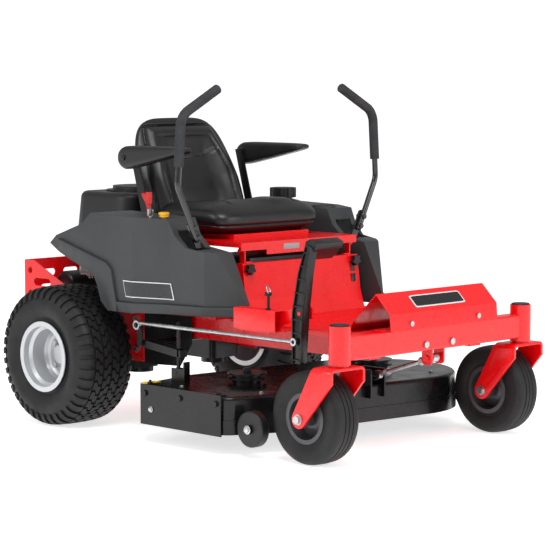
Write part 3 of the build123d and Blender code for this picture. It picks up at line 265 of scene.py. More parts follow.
FINISH = {
    RED: ["main_frame", "front_axle", "floor_pan", "footrest", "front_panel", "rear_guard", "lift_bracket",
          "seat_pan", "caster_fork_right", "caster_fork_left"],
    GREY: ["fender_right", "fender_left"],
    VINYL: ["seat_cushion", "seat_back", "armrest_right", "armrest_left"],
    BLACK: ["lift_pedal", "lift_shaft", "seat_frame", "lever_base_right", "lever_base_left", "muffler",
            "drive_guard", "transaxle_right", "transaxle_left", "blade_spindle_right",
            "blade_spindle_left", "height_pin"],
    DECK: ["deck_shell", "deck_cover"],
    TUBE: ["lap_bar_right", "lap_bar_left"],
    FOAM: ["lever_grip_right", "lever_grip_left"],
    RUBBER: ["rear_tyre_right", "rear_tyre_left", "caster_tyre_right", "caster_tyre_left"],
    SILVER: ["rear_rim_right", "rear_rim_left"],
    CHARCOAL: ["caster_rim_right", "caster_rim_left"],
    ZINC: ["caster_bolt_right", "caster_bolt_left", "deck_rod", "lift_rod", "frame_bolts",
           "ignition_key"],
    CAST: ["engine_block"],
    PLASTIC: ["caps_and_knobs", "engine_shroud", "intake_grille", "fuel_tank", "fuel_cap",
              "control_panel", "gauge_wheel_right", "gauge_wheel_left"],
    RED_KNOB: ["throttle_lever"],
    YELLOW: ["pto_knob"],
    WHITE_CAN: ["oil_filter"],
}
for finish, names in FINISH.items():
    for name in names:
        NODE[name].data.materials.clear()
        NODE[name].data.materials.append(finish)


# ---- modelling helpers ------------------------------------------------------------------
MM = 0.001


def only(piece):
    """Makes a piece the one selected and active object."""
    bpy.ops.object.select_all(action="DESELECT")
    piece.select_set(True)
    bpy.context.view_layer.objects.active = piece


def edit(piece):
    """Opens a piece in edit mode with everything selected."""
    only(piece)
    bpy.ops.object.mode_set(mode="EDIT")
    bpy.ops.mesh.select_all(action="SELECT")


def done(piece):
    """Closes edit mode."""
    bpy.ops.object.mode_set(mode="OBJECT")
    return piece


def settle(piece, name, finish, node, smooth=32):
    """Puts a piece's place in its mesh, names it, and lets it ride with a CAD node's body."""
    only(piece)
    bpy.ops.object.transform_apply(location=True, rotation=True, scale=True)
    piece.name = name
    piece.data.name = name
    piece.data.materials.clear()
    piece.data.materials.append(finish)
    bpy.ops.object.shade_smooth_by_angle(angle=math.radians(smooth))
    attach(piece, NODE[node]["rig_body"])
    return piece


def joined(pieces):
    """Joins pieces into the first of them."""
    bpy.ops.object.select_all(action="DESELECT")
    for piece in pieces:
        piece.select_set(True)
    bpy.context.view_layer.objects.active = pieces[0]
    bpy.ops.object.join()
    return pieces[0]


def flat_outline(points):
    """A filled flat outline in the XY plane, one corner for each point."""
    bpy.ops.object.select_all(action="DESELECT")
    bpy.ops.mesh.primitive_circle_add(vertices=len(points), radius=1.0, fill_type="NGON")
    piece = bpy.context.object
    for vertex, point in zip(piece.data.vertices, points):
        vertex.co = (*point, 0.0)
    return piece


def raised(piece, height, inset=0.0):
    """Pulls a flat outline up into a block whose top is drawn in by an inset."""
    edit(piece)
    bpy.ops.mesh.extrude_region_move(TRANSFORM_OT_translate={"value": (0, 0, height)})
    if inset:
        bpy.ops.mesh.inset(thickness=inset, depth=0.0)
    bpy.ops.mesh.select_all(action="SELECT")
    bpy.ops.mesh.normals_make_consistent(inside=False)
    return done(piece)


def apply_modifier(piece, kind, **settings):
    """Adds a modifier with its settings and applies it."""
    only(piece)
    modifier = piece.modifiers.new(kind.lower(), kind)
    for key, value in settings.items():
        setattr(modifier, key, value)
    bpy.ops.object.modifier_apply(modifier=modifier.name)


def spun(section, centre, steps):
    """A closed section in the XR plane, spun round an X axis through the centre."""
    bpy.ops.object.select_all(action="DESELECT")
    bpy.ops.mesh.primitive_circle_add(vertices=len(section), radius=1.0)
    piece = bpy.context.object
    for vertex, (x, r) in zip(piece.data.vertices, section):
        vertex.co = (centre.x + x, centre.y, centre.z + r)
    edit(piece)
    bpy.ops.mesh.spin(steps=steps, angle=2 * math.pi, center=centre, axis=(1, 0, 0))
    bpy.ops.mesh.select_all(action="SELECT")
    bpy.ops.mesh.remove_doubles(threshold=1e-5)
    bpy.ops.mesh.normals_make_consistent(inside=False)
    return done(piece)


def middle(node):
    """Centre and half size of a CAD node's box."""
    low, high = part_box(node)
    return (low + high) / 2, (high - low) / 2


# ---- tyres ------------------------------------------------------------------------------
class TyreShape:
    """The skin of a tyre: a nearly flat crown, a round shoulder, then the sidewall."""

    def __init__(self, radius, flat, shoulder, half_width, bead_r, fall=2.5 * MM):
        self.radius, self.flat, self.shoulder = radius, flat, shoulder
        self.half_width, self.bead_r, self.fall = half_width, bead_r, fall

    def skin(self, across, height=0.0):
        """Place (x, r) at a distance across from the middle, measured along the skin."""
        side, run = math.copysign(1.0, across), abs(across)
        if run <= self.flat:
            return across, self.radius - self.fall * (run / self.flat) ** 2 + height
        turn = (run - self.flat) / self.shoulder
        out = self.flat + self.shoulder * math.sin(turn) + height * math.sin(turn)
        drop = self.fall + self.shoulder * (1 - math.cos(turn))
        return side * out, self.radius - drop + height * math.cos(turn)

    def section(self, reach, grooves=()):
        """The closed outline of the carcass, from bead to bead."""
        steps = 24
        tread = []
        for i in range(steps + 1):
            across = -reach + 2 * reach * i / steps
            tread.append(self.skin(across))
        for at in grooves:
            tread += [self.skin(at - 2.2 * MM), self.skin(at - 1.4 * MM, -2.2 * MM),
                      self.skin(at + 1.4 * MM, -2.2 * MM), self.skin(at + 2.2 * MM)]
        tread.sort()
        end_x, end_r = self.skin(reach)
        wall = []
        for i in range(1, 10):
            k = i / 10
            r = end_r + (self.bead_r + 12 * MM - end_r) * k
            bulge = math.sin(math.pi * min(1.0, k * 1.1) ** 0.8)
            x = end_x + (self.half_width - end_x) * bulge - 10 * MM * k ** 3
            wall.append((x, r))
        wall += [(end_x - 6 * MM, self.bead_r + 6 * MM), (end_x - 10 * MM, self.bead_r)]
        return [(-x, r) for x, r in reversed(wall)] + tread + wall


def wrap_tread(piece, shape, centre):
    """Lays a flat strip (across, along, up) round the tyre."""
    for vertex in piece.data.vertices:
        across, along, up = vertex.co
        x, r = shape.skin(across, up)
        turn = along / shape.radius
        vertex.co = (centre.x + x, centre.y + r * math.sin(turn), centre.z + r * math.cos(turn))


def turf_tyre(node):
    """Turf tyre: shoulder lugs that wrap over the edge and four rows of zigzag blocks."""
    centre, half = middle(node)
    depth = 6.5 * MM
    shape = TyreShape(half.z - depth, 70 * MM, 30 * MM, half.x, 102 * MM)
    carcass = spun(shape.section(112 * MM), centre, 88)
    pitches = 40
    pitch = 2 * math.pi * shape.radius / pitches
    blocks = []
    for row, side in ((-51 * MM, 1), (-17 * MM, -1), (17 * MM, 1), (51 * MM, -1)):
        w, h = 14.5 * MM, pitch * 0.37
        lean = side * pitch * 0.22
        shift = pitch * (0.5 if side > 0 else 0.0)
        zig = [(-w, -h + lean), (-0.25 * w, -h + lean), (0.25 * w, -h - lean), (w, -h - lean),
               (w, h - lean), (0.25 * w, h - lean), (-0.25 * w, h + lean), (-w, h + lean)]
        blocks.append(raised(flat_outline([(row + x, y + shift) for x, y in zig]), depth, 1.2 * MM))
    for side in (-1, 1):
        bpy.ops.object.select_all(action="DESELECT")
        bpy.ops.mesh.primitive_grid_add(x_subdivisions=8, y_subdivisions=2, size=1.0)
        lug = bpy.context.object
        for vertex in lug.data.vertices:
            reach = 70 * MM + (vertex.co.x + 0.5) * 46 * MM
            narrow = 0.62 - 0.16 * (vertex.co.x + 0.5)
            vertex.co = (side * reach, vertex.co.y * pitch * narrow, 0.0)
        blocks.append(raised(lug, depth * 0.9, 1.0 * MM))
    strip = joined(blocks)
    apply_modifier(strip, "ARRAY", count=pitches, use_relative_offset=False, use_constant_offset=True,
                   constant_offset_displace=(0.0, pitch, 0.0))
    wrap_tread(strip, shape, centre)
    edit(strip)
    bpy.ops.mesh.normals_make_consistent(inside=False)
    done(strip)
    tyre = settle(joined([carcass, strip]), node + "_turf", RUBBER, node)
    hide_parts(node)


def ribbed_tyre(node):
    """Small smooth caster tyre with three fine grooves round the crown."""
    centre, half = middle(node)
    shape = TyreShape(half.z, 30 * MM, 22 * MM, half.x, 66 * MM, 1.5 * MM)
    tyre = spun(shape.section(56 * MM, (-16 * MM, 0.0, 16 * MM)), centre, 72)
    settle(tyre, node + "_ribbed", RUBBER, node, smooth=50)
    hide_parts(node)


for side in ("right", "left"):
    turf_tyre(f"rear_tyre_{side}")
    ribbed_tyre(f"caster_tyre_{side}")


# ---- seat -------------------------------------------------------------------------------
def soft_block(cuts, plan_power, crown_power):
    """A unit block rounded like a stuffed pad: square in plan, crowned through its thickness."""
    bpy.ops.object.select_all(action="DESELECT")
    bpy.ops.mesh.primitive_cube_add(size=2.0)
    piece = bpy.context.object
    edit(piece)
    bpy.ops.mesh.subdivide(number_cuts=cuts)
    done(piece)
    for vertex in piece.data.vertices:
        x, y, z = vertex.co
        plan = (abs(x) ** plan_power + abs(y) ** plan_power) ** (1 / plan_power)
        size = (plan ** crown_power + abs(z) ** crown_power) ** (1 / crown_power)
        vertex.co = (x / size, y / size, z / size)
    return piece


def ease(value, start, end):
    """0 before start, 1 after end, smooth between."""
    k = min(1.0, max(0.0, (value - start) / (end - start)))
    return k * k * (3 - 2 * k)


def groove(distance, width):
    """Depth profile of a sewn seam at a distance from its line."""
    return math.exp(-(distance / width) ** 2)


def seat_cushion():
    """Moulded seat cushion: waterfall front, side bolsters, and a sewn centre panel."""
    low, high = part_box("seat_cushion")
    centre, half = middle("seat_cushion")
    long = high.y - low.y
    piece = soft_block(64, 7.0, 3.0)
    for vertex in piece.data.vertices:
        x, y, z = vertex.co
        back = (y + 1) / 2
        roll = 1 - ease(back, 0.0, 0.34)
        top = high.z + 10 * MM - 20 * MM * ease(back, 0.35, 1.0) - 20 * MM * roll ** 2
        under = low.z - 13 * MM + 6 * MM * roll ** 2
        place_z = under + (z + 1) / 2 * (top - under)
        upper = ease(z, 0.1, 0.75)
        across = abs(x) * half.x
        dish = -9 * MM * math.exp(-(x / 0.5) ** 2) * ease(back, 0.2, 0.5)
        bolster = 15 * MM * math.exp(-((abs(x) - 0.82) / 0.13) ** 2) * ease(back, 0.25, 0.8)
        panel = half.x * (0.63 - 0.07 * back)
        seam = groove(across - panel, 3.6 * MM) * ease(back, 0.1, 0.2)
        cross = groove((back - 0.3 - 0.05 * (1 - x * x)) * long, 3.6 * MM) * (1 if across < panel else 0)
        place_z += upper * (dish + bolster - 6 * MM * max(seam, cross))
        belt = groove(place_z - (under + 0.36 * (top - under)), 4 * MM) * (1 - ease(abs(z), 0.82, 0.95))
        pull = 1 - 0.018 * belt
        vertex.co = (centre.x + x * half.x * pull, low.y + back * long + 5 * MM * belt * roll, place_z)
    settle(piece, "seat_cushion_cover", VINYL, "seat_cushion", 60)
    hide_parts("seat_cushion")


def seat_back():
    """Moulded backrest: a flat rolled rim round a raised bucket with sewn panels."""
    low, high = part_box("seat_back")
    runs_back, rises = 149 * MM, 370 * MM
    lean = math.atan2(runs_back, rises)
    up = Vector((0, math.sin(lean), math.cos(lean)))
    out = Vector((0, -math.cos(lean), math.sin(lean)))
    thick = 54 * MM
    foot = Vector((0.0, low.y, low.z + thick * math.sin(lean)))
    tall = (high.z - foot.z) / math.cos(lean)
    half = (high.x - low.x) / 2

    def half_width(t):
        if t < 50 * MM:
            return half - 50 * MM + math.sqrt(max(0.0, (50 * MM) ** 2 - (50 * MM - t) ** 2)) * 0.6 + 20 * MM
        if t < 0.42 * tall:
            return half
        return half - 52 * MM * ((t - 0.42 * tall) / (0.58 * tall)) ** 1.25

    piece = soft_block(64, 5.0, 3.4)
    for vertex in piece.data.vertices:
        x, y, z = vertex.co
        t = (y + 1) / 2 * tall
        wide = half_width(t)
        across = abs(x) * wide
        edge = min(wide - across, tall - t)
        face = ease(z, 0.0, 0.7)
        wing = 20 * MM * math.exp(-((abs(x) - 0.72) / 0.17) ** 2) * (1 - ease(t, 0.5 * tall, 0.9 * tall))
        lumbar = 10 * MM * math.exp(-((t - 0.3 * tall) / (0.2 * tall)) ** 2) * math.exp(-(x / 0.5) ** 2)
        crown = 12 * MM * ease(edge, 26 * MM, 60 * MM) - 14 * MM * ease(edge, 60 * MM, 150 * MM)
        rim = groove(edge - 30 * MM, 4.5 * MM)
        inner = groove(edge - 74 * MM, 3.8 * MM) * ease(t, 0.12 * tall, 0.18 * tall)
        arc = 16 * MM * (1 - (across / (0.5 * wide)) ** 2)
        head = groove(t - 0.66 * tall + arc, 3.8 * MM) * (across < wide - 74 * MM)
        relief = wing + lumbar + crown - 9 * MM * rim - 6 * MM * max(inner, head) - 4 * MM
        depth = -thick / 2 + z * thick / 2 + face * relief
        vertex.co = foot + up * t + out * depth + Vector((x * wide, 0, 0))
    settle(piece, "seat_back_cover", VINYL, "seat_back", 60)
    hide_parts("seat_back")


def armrest(node):
    """Folding armrest: a deep round lobe over the pivot, thinning to a flat tip."""
    low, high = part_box(node)
    centre, half = middle(node)
    lobe, tip = 40 * MM, 11 * MM
    lobe_y = high.y - lobe
    long = high.y - low.y
    piece = soft_block(40, 6.0, 5.0)
    for vertex in piece.data.vertices:
        x, y, z = vertex.co
        at = low.y + (y + 1) / 2 * long
        deep = tip + (lobe - tip) * min(1.0, max(0.0, (at - low.y - tip) / (lobe_y - low.y - tip)))
        if at > lobe_y:
            deep = math.sqrt(max(1e-8, lobe ** 2 - (at - lobe_y) ** 2))
        if at < low.y + tip:
            deep = math.sqrt(max(1e-8, tip ** 2 - (low.y + tip - at) ** 2))
        mid = high.z - max(deep, tip if at < lobe_y else lobe)
        if at > lobe_y:
            mid = high.z - lobe
        seam = groove(abs(x) * half.x - (half.x - 9 * MM), 2.5 * MM) * ease(abs(z), 0.5, 0.8)
        vertex.co = (centre.x + x * half.x, at, mid + z * (deep - 2.0 * MM * seam))
    settle(piece, node + "_pad", VINYL, node, 60)
    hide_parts(node)
    bpy.ops.object.select_all(action="DESELECT")
    side = math.copysign(1.0, centre.x)
    pivot = (centre.x + side * (half.x + 1 * MM), lobe_y, high.z - lobe)
    bpy.ops.mesh.primitive_cylinder_add(vertices=6, radius=9 * MM, depth=5 * MM,
                                        rotation=(0, math.pi / 2, 0), location=pivot)
    bolt = bpy.context.object
    edit(bolt)
    bpy.ops.mesh.bevel(offset=0.8 * MM, segments=2)
    done(bolt)
    settle(bolt, node + "_bolt", BLACK, node)


seat_cushion()
seat_back()
for side in ("right", "left"):
    armrest(f"armrest_{side}")


# ---- fenders ----------------------------------------------------------------------------
def softened_copy(node, width_mm, finish, flat_deg=1.0, angle=22):
    """A welded copy of a pressed or moulded CAD piece with its hard edges rounded."""
    only(NODE[node])
    bpy.ops.object.duplicate()
    piece = bpy.context.object
    for key in list(piece.keys()):
        del piece[key]
    piece.parent = None
    edit(piece)
    bpy.ops.mesh.remove_doubles(threshold=2e-5)
    bpy.ops.mesh.dissolve_limited(angle_limit=math.radians(flat_deg))
    done(piece)
    apply_modifier(piece, "BEVEL", width=width_mm * MM, segments=3, limit_method="ANGLE",
                   angle_limit=math.radians(angle), use_clamp_overlap=True, harden_normals=False)
    settle(piece, node + "_shell", finish, node, 28)
    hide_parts(node)
    return piece


for side in ("right", "left"):
    softened_copy(f"fender_{side}", 5.0, GREY)


fender_low, fender_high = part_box("fender_left")
wall_tapers = [(-22, 178), (108, 77), (248, 52), (358, 0), (788, 0)]
WALL_CORNERS = [(fender_low.y + back * MM, fender_high.x - inward * MM) for back, inward in wall_tapers]


def wall_x(y):
    """How far out the fender's side wall stands at a place along it, tapering in towards the front."""
    for (y0, x0), (y1, x1) in zip(WALL_CORNERS, WALL_CORNERS[1:]):
        if y <= y1:
            return x0 + (x1 - x0) * (y - y0) / (y1 - y0)
    return WALL_CORNERS[-1][1]


def round_wall_x(y, reach):
    """The wall's place with its corners rounded off over a reach to each side."""
    steps = 4
    average = sum(wall_x(y + reach * k / steps) for k in range(-steps, steps + 1)) / (2 * steps + 1)
    return max(average, wall_x(y))


def blank_badge(side):
    """Blank oblong nameplate with a pale rim, pressed to the curve of the fender's wall."""
    name = "right" if side < 0 else "left"
    low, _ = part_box(f"fender_{name}")
    long, tall = 166 * MM, 52 * MM
    middle_y, middle_z = low.y + 310 * MM, low.z + 75.5 * MM
    slant, tilt = 0.25, 0.02
    clear_x = side * 600 * MM
    layers = ((0.0, 3.4 * MM, BADGE_RIM, "rim"), (3.2 * MM, 4.6 * MM, BADGE_FACE, "face"))
    for inset, proud, finish, label in layers:
        bpy.ops.object.select_all(action="DESELECT")
        bpy.ops.mesh.primitive_grid_add(x_subdivisions=24, y_subdivisions=2, size=1.0)
        plate = bpy.context.object
        for vertex in plate.data.vertices:
            along, up = vertex.co.x * (long - 2 * inset), vertex.co.y * (tall - 2 * inset)
            vertex.co = (clear_x, middle_y + along + up * slant, middle_z + up + along * tilt)
        apply_modifier(plate, "SHRINKWRAP", target=NODE[f"fender_{name}"], wrap_method="PROJECT",
                       use_project_x=True, use_positive_direction=side < 0,
                       use_negative_direction=side > 0)
        for vertex in plate.data.vertices:
            vertex.co.x += side * proud
        apply_modifier(plate, "SOLIDIFY", thickness=1.4 * MM, offset=-side)
        edit(plate)
        bpy.ops.mesh.normals_make_consistent(inside=False)
        done(plate)
        settle(plate, f"fender_plate_{label}_{name}", finish, f"fender_{name}", 40)


BADGE_RIM = plain_plastic("badge_white_rim", "D8D9DA", 0.35)
BADGE_FACE = plain_plastic("badge_dark_face", "2A2B2D", 0.3)
for side in (-1, 1):
    blank_badge(side)


def footrest_badge():
    """Blank black nameplate with a bright rim on the sloping footrest."""
    low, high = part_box("footrest")
    slope = Vector((0, 0.720, 0.694))
    out = Vector((0, -slope.z, slope.y))
    at = Vector((-4 * MM, low.y + 31.9 * MM, high.z - 30.1 * MM))
    layers = ((226 * MM, 47 * MM, 1.2, BADGE_RIM, "rim"), (217 * MM, 38 * MM, 2.0, BADGE_BLACK, "face"))
    for wide, tall, proud, finish, label in layers:
        bpy.ops.object.select_all(action="DESELECT")
        bpy.ops.mesh.primitive_cube_add(size=1.0)
        plate = bpy.context.object
        edit(plate)
        bpy.ops.mesh.bevel(offset=0.06, segments=2)
        done(plate)
        for vertex in plate.data.vertices:
            x, y, z = vertex.co
            vertex.co = at + Vector((x * wide, 0, 0)) + slope * (y * tall) + out * (z * 1.4 + proud) * MM
        settle(plate, f"footrest_plate_{label}", finish, "footrest", 40)


BADGE_BLACK = plain_plastic("badge_black_face", "131315", 0.25)
footrest_badge()


def fender_crease(side):
    """Wheel arch flare whose upper edge stands proud, and the low skirt that runs on from it."""
    name = "right" if side < 0 else "left"
    low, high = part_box(f"fender_{name}")
    wall = max(abs(low.x), abs(high.x)) - 2 * MM
    crease = [(718, 218), (478, 154), (454, 133), (429, 34), (425, 2)]
    arch = [(476, 2), (511, 29), (525, 74), (545, 109), (587, 130), (659, 152), (719, 177)]
    crease = [(low.y + back * MM, low.z + up * MM) for back, up in crease]
    arch = [(low.y + back * MM, low.z + up * MM) for back, up in arch]
    flare = flat_outline(crease + arch)
    raised(flare, 1 * MM)
    for vertex in flare.data.vertices:
        y, z, up = vertex.co
        proud = 11 * MM if any(abs(y - a) + abs(z - b) < 1 * MM for a, b in crease) else 1.5 * MM
        vertex.co = (side * (wall + (proud if up > 0 else 0.0)), y, z)
    bpy.ops.object.select_all(action="DESELECT")
    bpy.ops.mesh.primitive_grid_add(x_subdivisions=48, y_subdivisions=4, size=1.0)
    skirt = bpy.context.object
    skirt_long, skirt_tall = 430 * MM, 31 * MM
    for vertex in skirt.data.vertices:
        along, up = vertex.co.x + 0.5, vertex.co.y + 0.5
        y, z = low.y + 3 * MM + along * skirt_long, low.z + 2 * MM + up * skirt_tall
        proud = 1.5 * MM + 8 * MM * up
        vertex.co = (side * (round_wall_x(y, 20 * MM) + proud), y, z)
    apply_modifier(skirt, "SOLIDIFY", thickness=3 * MM, offset=-side)
    for piece, label in ((flare, "flare"), (skirt, "skirt")):
        edit(piece)
        bpy.ops.mesh.normals_make_consistent(inside=False)
        done(piece)
        apply_modifier(piece, "BEVEL", width=1.4 * MM, segments=2, limit_method="ANGLE",
                       angle_limit=math.radians(50))
        settle(piece, f"fender_{label}_{name}", GREY, f"fender_{name}", 40)


for side in (-1, 1):
    fender_crease(side)


# ---- small fittings ---------------------------------------------------------------------
def bolt_head(at, way, radius, height, finish, name, node):
    """Hexagon head with a broken edge on a round washer."""
    way = Vector(way).normalized()
    turn = way.to_track_quat("Z", "Y").to_euler()
    parts = []
    for sides, r, h, base in ((24, radius * 1.35, height * 0.25, 0.0), (6, radius, height, height * 0.2)):
        bpy.ops.object.select_all(action="DESELECT")
        bpy.ops.mesh.primitive_cylinder_add(vertices=sides, radius=r, depth=h, rotation=turn,
                                            location=Vector(at) + way * (base + h / 2))
        part = bpy.context.object
        edit(part)
        bpy.ops.mesh.bevel(offset=min(0.9 * MM, h * 0.2), segments=2)
        parts.append(done(part))
    return settle(joined(parts), name, finish, node)


def block(low, high, bevel_mm):
    """A block between two corners with its edges rounded."""
    bpy.ops.object.select_all(action="DESELECT")
    low, high = Vector(low), Vector(high)
    bpy.ops.mesh.primitive_cube_add(size=1.0, location=(low + high) / 2)
    piece = bpy.context.object
    edit(piece)
    bpy.ops.transform.resize(value=high - low, center_override=(low + high) / 2)
    bpy.ops.mesh.bevel(offset=bevel_mm * MM, segments=2)
    return done(piece)


def deck_fittings():
    """Bright bolts along the deck's wall and lid, and a blank yellow label by its rear corner."""
    low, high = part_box("deck_cover")
    side_bolt = (low.x + 5 * MM, high.y - 50 * MM, low.z + 50 * MM)
    bolt_head(side_bolt, (-1, 0, 0), 7 * MM, 5 * MM, ZINC, "deck_side_bolt", "deck_cover")
    shell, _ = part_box("deck_shell")
    lid = shell.z + 116 * MM
    lid_bolts = [(59, 233), (59, 403), (149, 143), (379, 233), (999, 263), (679, 123), (859, 83)]
    for i, (across, back) in enumerate(lid_bolts):
        at = (shell.x + across * MM, shell.y + back * MM, lid)
        bolt_head(at, (0, 0, 1), 6 * MM, 5 * MM, ZINC, f"deck_lid_bolt_{i}", "deck_shell")
    for side in (-1, 1):
        name = "right" if side < 0 else "left"
        hub_low, hub_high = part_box(f"gauge_wheel_{name}")
        hub = (hub_low + hub_high) / 2
        outer = max(abs(hub_low.x), abs(hub_high.x)) + 8 * MM
        bolt_head((side * outer, hub.y, hub.z), (side, 0, 0), 10 * MM, 6 * MM, ZINC,
                  f"gauge_bolt_{name}", "deck_shell")
    corner = Vector((shell.x + 29 * MM, shell.y + 533 * MM, lid + 0.2 * MM))
    label = block(corner, corner + Vector((60, 34, 0.8)) * MM, 0.2)
    settle(label, "deck_blank_label", LABEL_YELLOW, "deck_shell")


def pedal_ribs():
    """Flanges and cross ribs down the open outer side of the lift pedal."""
    low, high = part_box("lift_pedal")
    face = low.x + 10 * MM
    levels = [(12, 36, 348), (28, 64, 268), (44, 88, 150), (56, 88, 0)]
    front = [(low.y + ahead * MM, low.z + up * MM) for ahead, _, up in levels]
    rear = [(low.y + behind * MM, low.z + up * MM) for _, behind, up in levels]
    flange, rib_pitch, first_rib = 3.5 * MM, 40 * MM, 10 * MM
    boss_low, boss_high = low.z + 43 * MM, low.z + 83 * MM
    outlines = [front + [(y + flange, z) for y, z in reversed(front)],
                rear + [(y - flange, z) for y, z in reversed(rear)]]
    for i in range(9):
        z = low.z + first_rib + i * rib_pitch
        for (ya, za), (yb, zb), (yc, _), (yd, _) in zip(front, front[1:], rear, rear[1:]):
            if zb <= z <= za and not boss_low < z < boss_high:
                k = (z - zb) / (za - zb)
                outlines.append([(yb + (ya - yb) * k, z), (yd + (yc - yd) * k, z),
                                 (yd + (yc - yd) * k, z + flange), (yb + (ya - yb) * k, z + flange)])
    ribs = [raised(flat_outline(points), 6 * MM) for points in outlines]
    for rib in ribs:
        for vertex in rib.data.vertices:
            y, z, up = vertex.co
            vertex.co = (face + 0.5 * MM - up, y, z)
    ribs = joined(ribs)
    edit(ribs)
    bpy.ops.mesh.normals_make_consistent(inside=False)
    done(ribs)
    settle(ribs, "pedal_ribs", BLACK, "lift_pedal")


def under_seat():
    """Black box with a lidded top below the hinged seat plate, put there as painted shade for the dark gap
    under it.
    """
    plate_low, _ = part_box("seat_pan")
    _, floor_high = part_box("floor_pan")
    half_wide, front, rear = 195 * MM, plate_low.y + 30 * MM, plate_low.y + 230 * MM
    under, top = floor_high.z + 6 * MM, plate_low.z - 10 * MM
    case = block((-half_wide, front, under), (half_wide, rear, top - 14 * MM), 6.0)
    lip = 4 * MM
    lid = block((-half_wide - lip - 1 * MM, front - lip, top - 30 * MM),
                (half_wide + lip + 1 * MM, rear + lip, top), 5.0)
    # Painted shade: a black box fills the gap under the seat plate so that it reads dark, not see-through.
    settle(joined([case, lid]), "under_seat_shade_box", PLASTIC, "main_frame")


def pull_ring():
    """Wire ring on the pin that locks the cutting height."""
    low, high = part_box("height_pin")
    centre = (low + high) / 2
    bpy.ops.object.select_all(action="DESELECT")
    bpy.ops.mesh.primitive_torus_add(major_radius=14 * MM, minor_radius=1.6 * MM, major_segments=36,
                                     minor_segments=8, location=(centre.x, centre.y, high.z + 8 * MM),
                                     rotation=(1.2, 0.3, 0.4))
    ring = bpy.context.object
    settle(ring, "height_pin_ring", ZINC, "height_pin", 60)


def throttle_grip():
    """Red plastic lever knob: a bent blade that thickens to a rounded finger pad."""
    low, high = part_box("throttle_lever")
    x, y = (low.x + high.x) / 2, (low.y + high.y) / 2
    neck = low.z + 60 * MM
    piece = block((x - 5 * MM, y - 7 * MM, neck - 30 * MM), (x + 5 * MM, y + 7 * MM, neck), 1.0)
    edit(piece)
    bpy.ops.mesh.select_all(action="DESELECT")
    bpy.ops.object.mode_set(mode="OBJECT")
    for face in piece.data.polygons:
        face.select = face.normal.z > 0.9
    bpy.ops.object.mode_set(mode="EDIT")
    for rise, shift, grow in ((22, 2, 1.0), (20, 8, 1.35), (14, 12, 1.1), (6, 5, 0.6)):
        bpy.ops.mesh.extrude_region_move(TRANSFORM_OT_translate={"value": (0, shift * MM, rise * MM)})
        bpy.ops.transform.resize(value=(grow, grow, 1.0))
    done(piece)
    apply_modifier(piece, "SUBSURF", levels=2, render_levels=2)
    settle(piece, "throttle_grip", RED_KNOB, "throttle_lever", 60)


def pull_knob():
    """Yellow pull knob with a waisted stem under a broad dished head."""
    low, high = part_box("pto_knob")
    centre = (low + high) / 2
    rings = [(0.0, -24), (10, -24), (8, -14), (9, -8), (16, -4), (17.5, 0), (17, 4), (12, 5.5), (0.0, 4.5)]
    bpy.ops.object.select_all(action="DESELECT")
    bpy.ops.mesh.primitive_circle_add(vertices=len(rings), radius=1.0)
    piece = bpy.context.object
    for vertex, (r, z) in zip(piece.data.vertices, rings):
        vertex.co = (centre.x + r * MM, centre.y, high.z + (z - 4) * MM)
    edit(piece)
    bpy.ops.mesh.delete(type="ONLY_FACE")
    bpy.ops.mesh.select_all(action="SELECT")
    bpy.ops.mesh.spin(steps=32, angle=2 * math.pi, center=(centre.x, centre.y, 0), axis=(0, 0, 1))
    bpy.ops.mesh.select_all(action="SELECT")
    bpy.ops.mesh.remove_doubles(threshold=1e-5)
    bpy.ops.mesh.normals_make_consistent(inside=False)
    done(piece)
    settle(piece, "pull_knob_head", YELLOW, "pto_knob", 50)


def key_head():
    """Grey moulded head on the ignition key."""
    low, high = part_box("ignition_key")
    centre = (low + high) / 2
    bpy.ops.object.select_all(action="DESELECT")
    bpy.ops.mesh.primitive_cylinder_add(vertices=28, radius=14 * MM, depth=6.5 * MM,
                                        rotation=(math.pi / 2, 0, 0.8),
                                        location=(centre.x, centre.y, high.z - 8 * MM))
    head = bpy.context.object
    edit(head)
    bpy.ops.mesh.bevel(offset=1.5 * MM, segments=3)
    done(head)
    settle(head, "key_head", KEY_GREY, "ignition_key", 50)


def wheel_fittings(side):
    """Four studs on the hub, and a rubber valve in the rim."""
    name = "right" if side < 0 else "left"
    low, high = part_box(f"rear_rim_{name}")
    centre = (low + high) / 2
    outer = max(abs(low.x), abs(high.x))
    face, circle = side * (outer - 89 * MM), 36 * MM
    for i in range(4):
        a = math.radians(45 + 90 * i)
        bolt_head((face, centre.y + circle * math.cos(a), centre.z + circle * math.sin(a)), (side, 0, 0),
                  7 * MM, 7 * MM, ZINC, f"wheel_stud_{name}_{i}", f"rear_rim_{name}")
    bpy.ops.object.select_all(action="DESELECT")
    stem = (side * (outer - 55.5 * MM), centre.y, centre.z + 80 * MM)
    bpy.ops.mesh.primitive_cylinder_add(vertices=20, radius=4 * MM, depth=26 * MM,
                                        rotation=(0, math.radians(70 * side), 0), location=stem)
    valve = bpy.context.object
    edit(valve)
    bpy.ops.mesh.bevel(offset=1.2 * MM, segments=2)
    done(valve)
    settle(valve, f"tyre_valve_{name}", RUBBER, f"rear_rim_{name}", 50)


def front_labels():
    """Blank labels where the maker's ones would be: seat flange, and the front panel's edge."""
    flange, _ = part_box("seat_pan")
    corner = Vector((-75 * MM, flange.y - 0.8 * MM, flange.z + 12 * MM))
    label = block(corner, corner + Vector((70, 0.8, 18)) * MM, 0.2)
    settle(label, "seat_flange_blank_label", LABEL_GREY, "seat_pan")
    panel, panel_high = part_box("front_panel")
    for i in range(2):
        lean = 4.3 * MM * i
        drop = (53 + 34 * i) * MM
        corner = Vector((panel_high.x - 40 * MM, panel.y + 26.8 * MM - lean, panel_high.z - drop))
        label = block(corner, corner + Vector((18, 1, 26)) * MM, 0.2)
        settle(label, f"panel_blank_label_{i}", BADGE_BLACK, "front_panel")


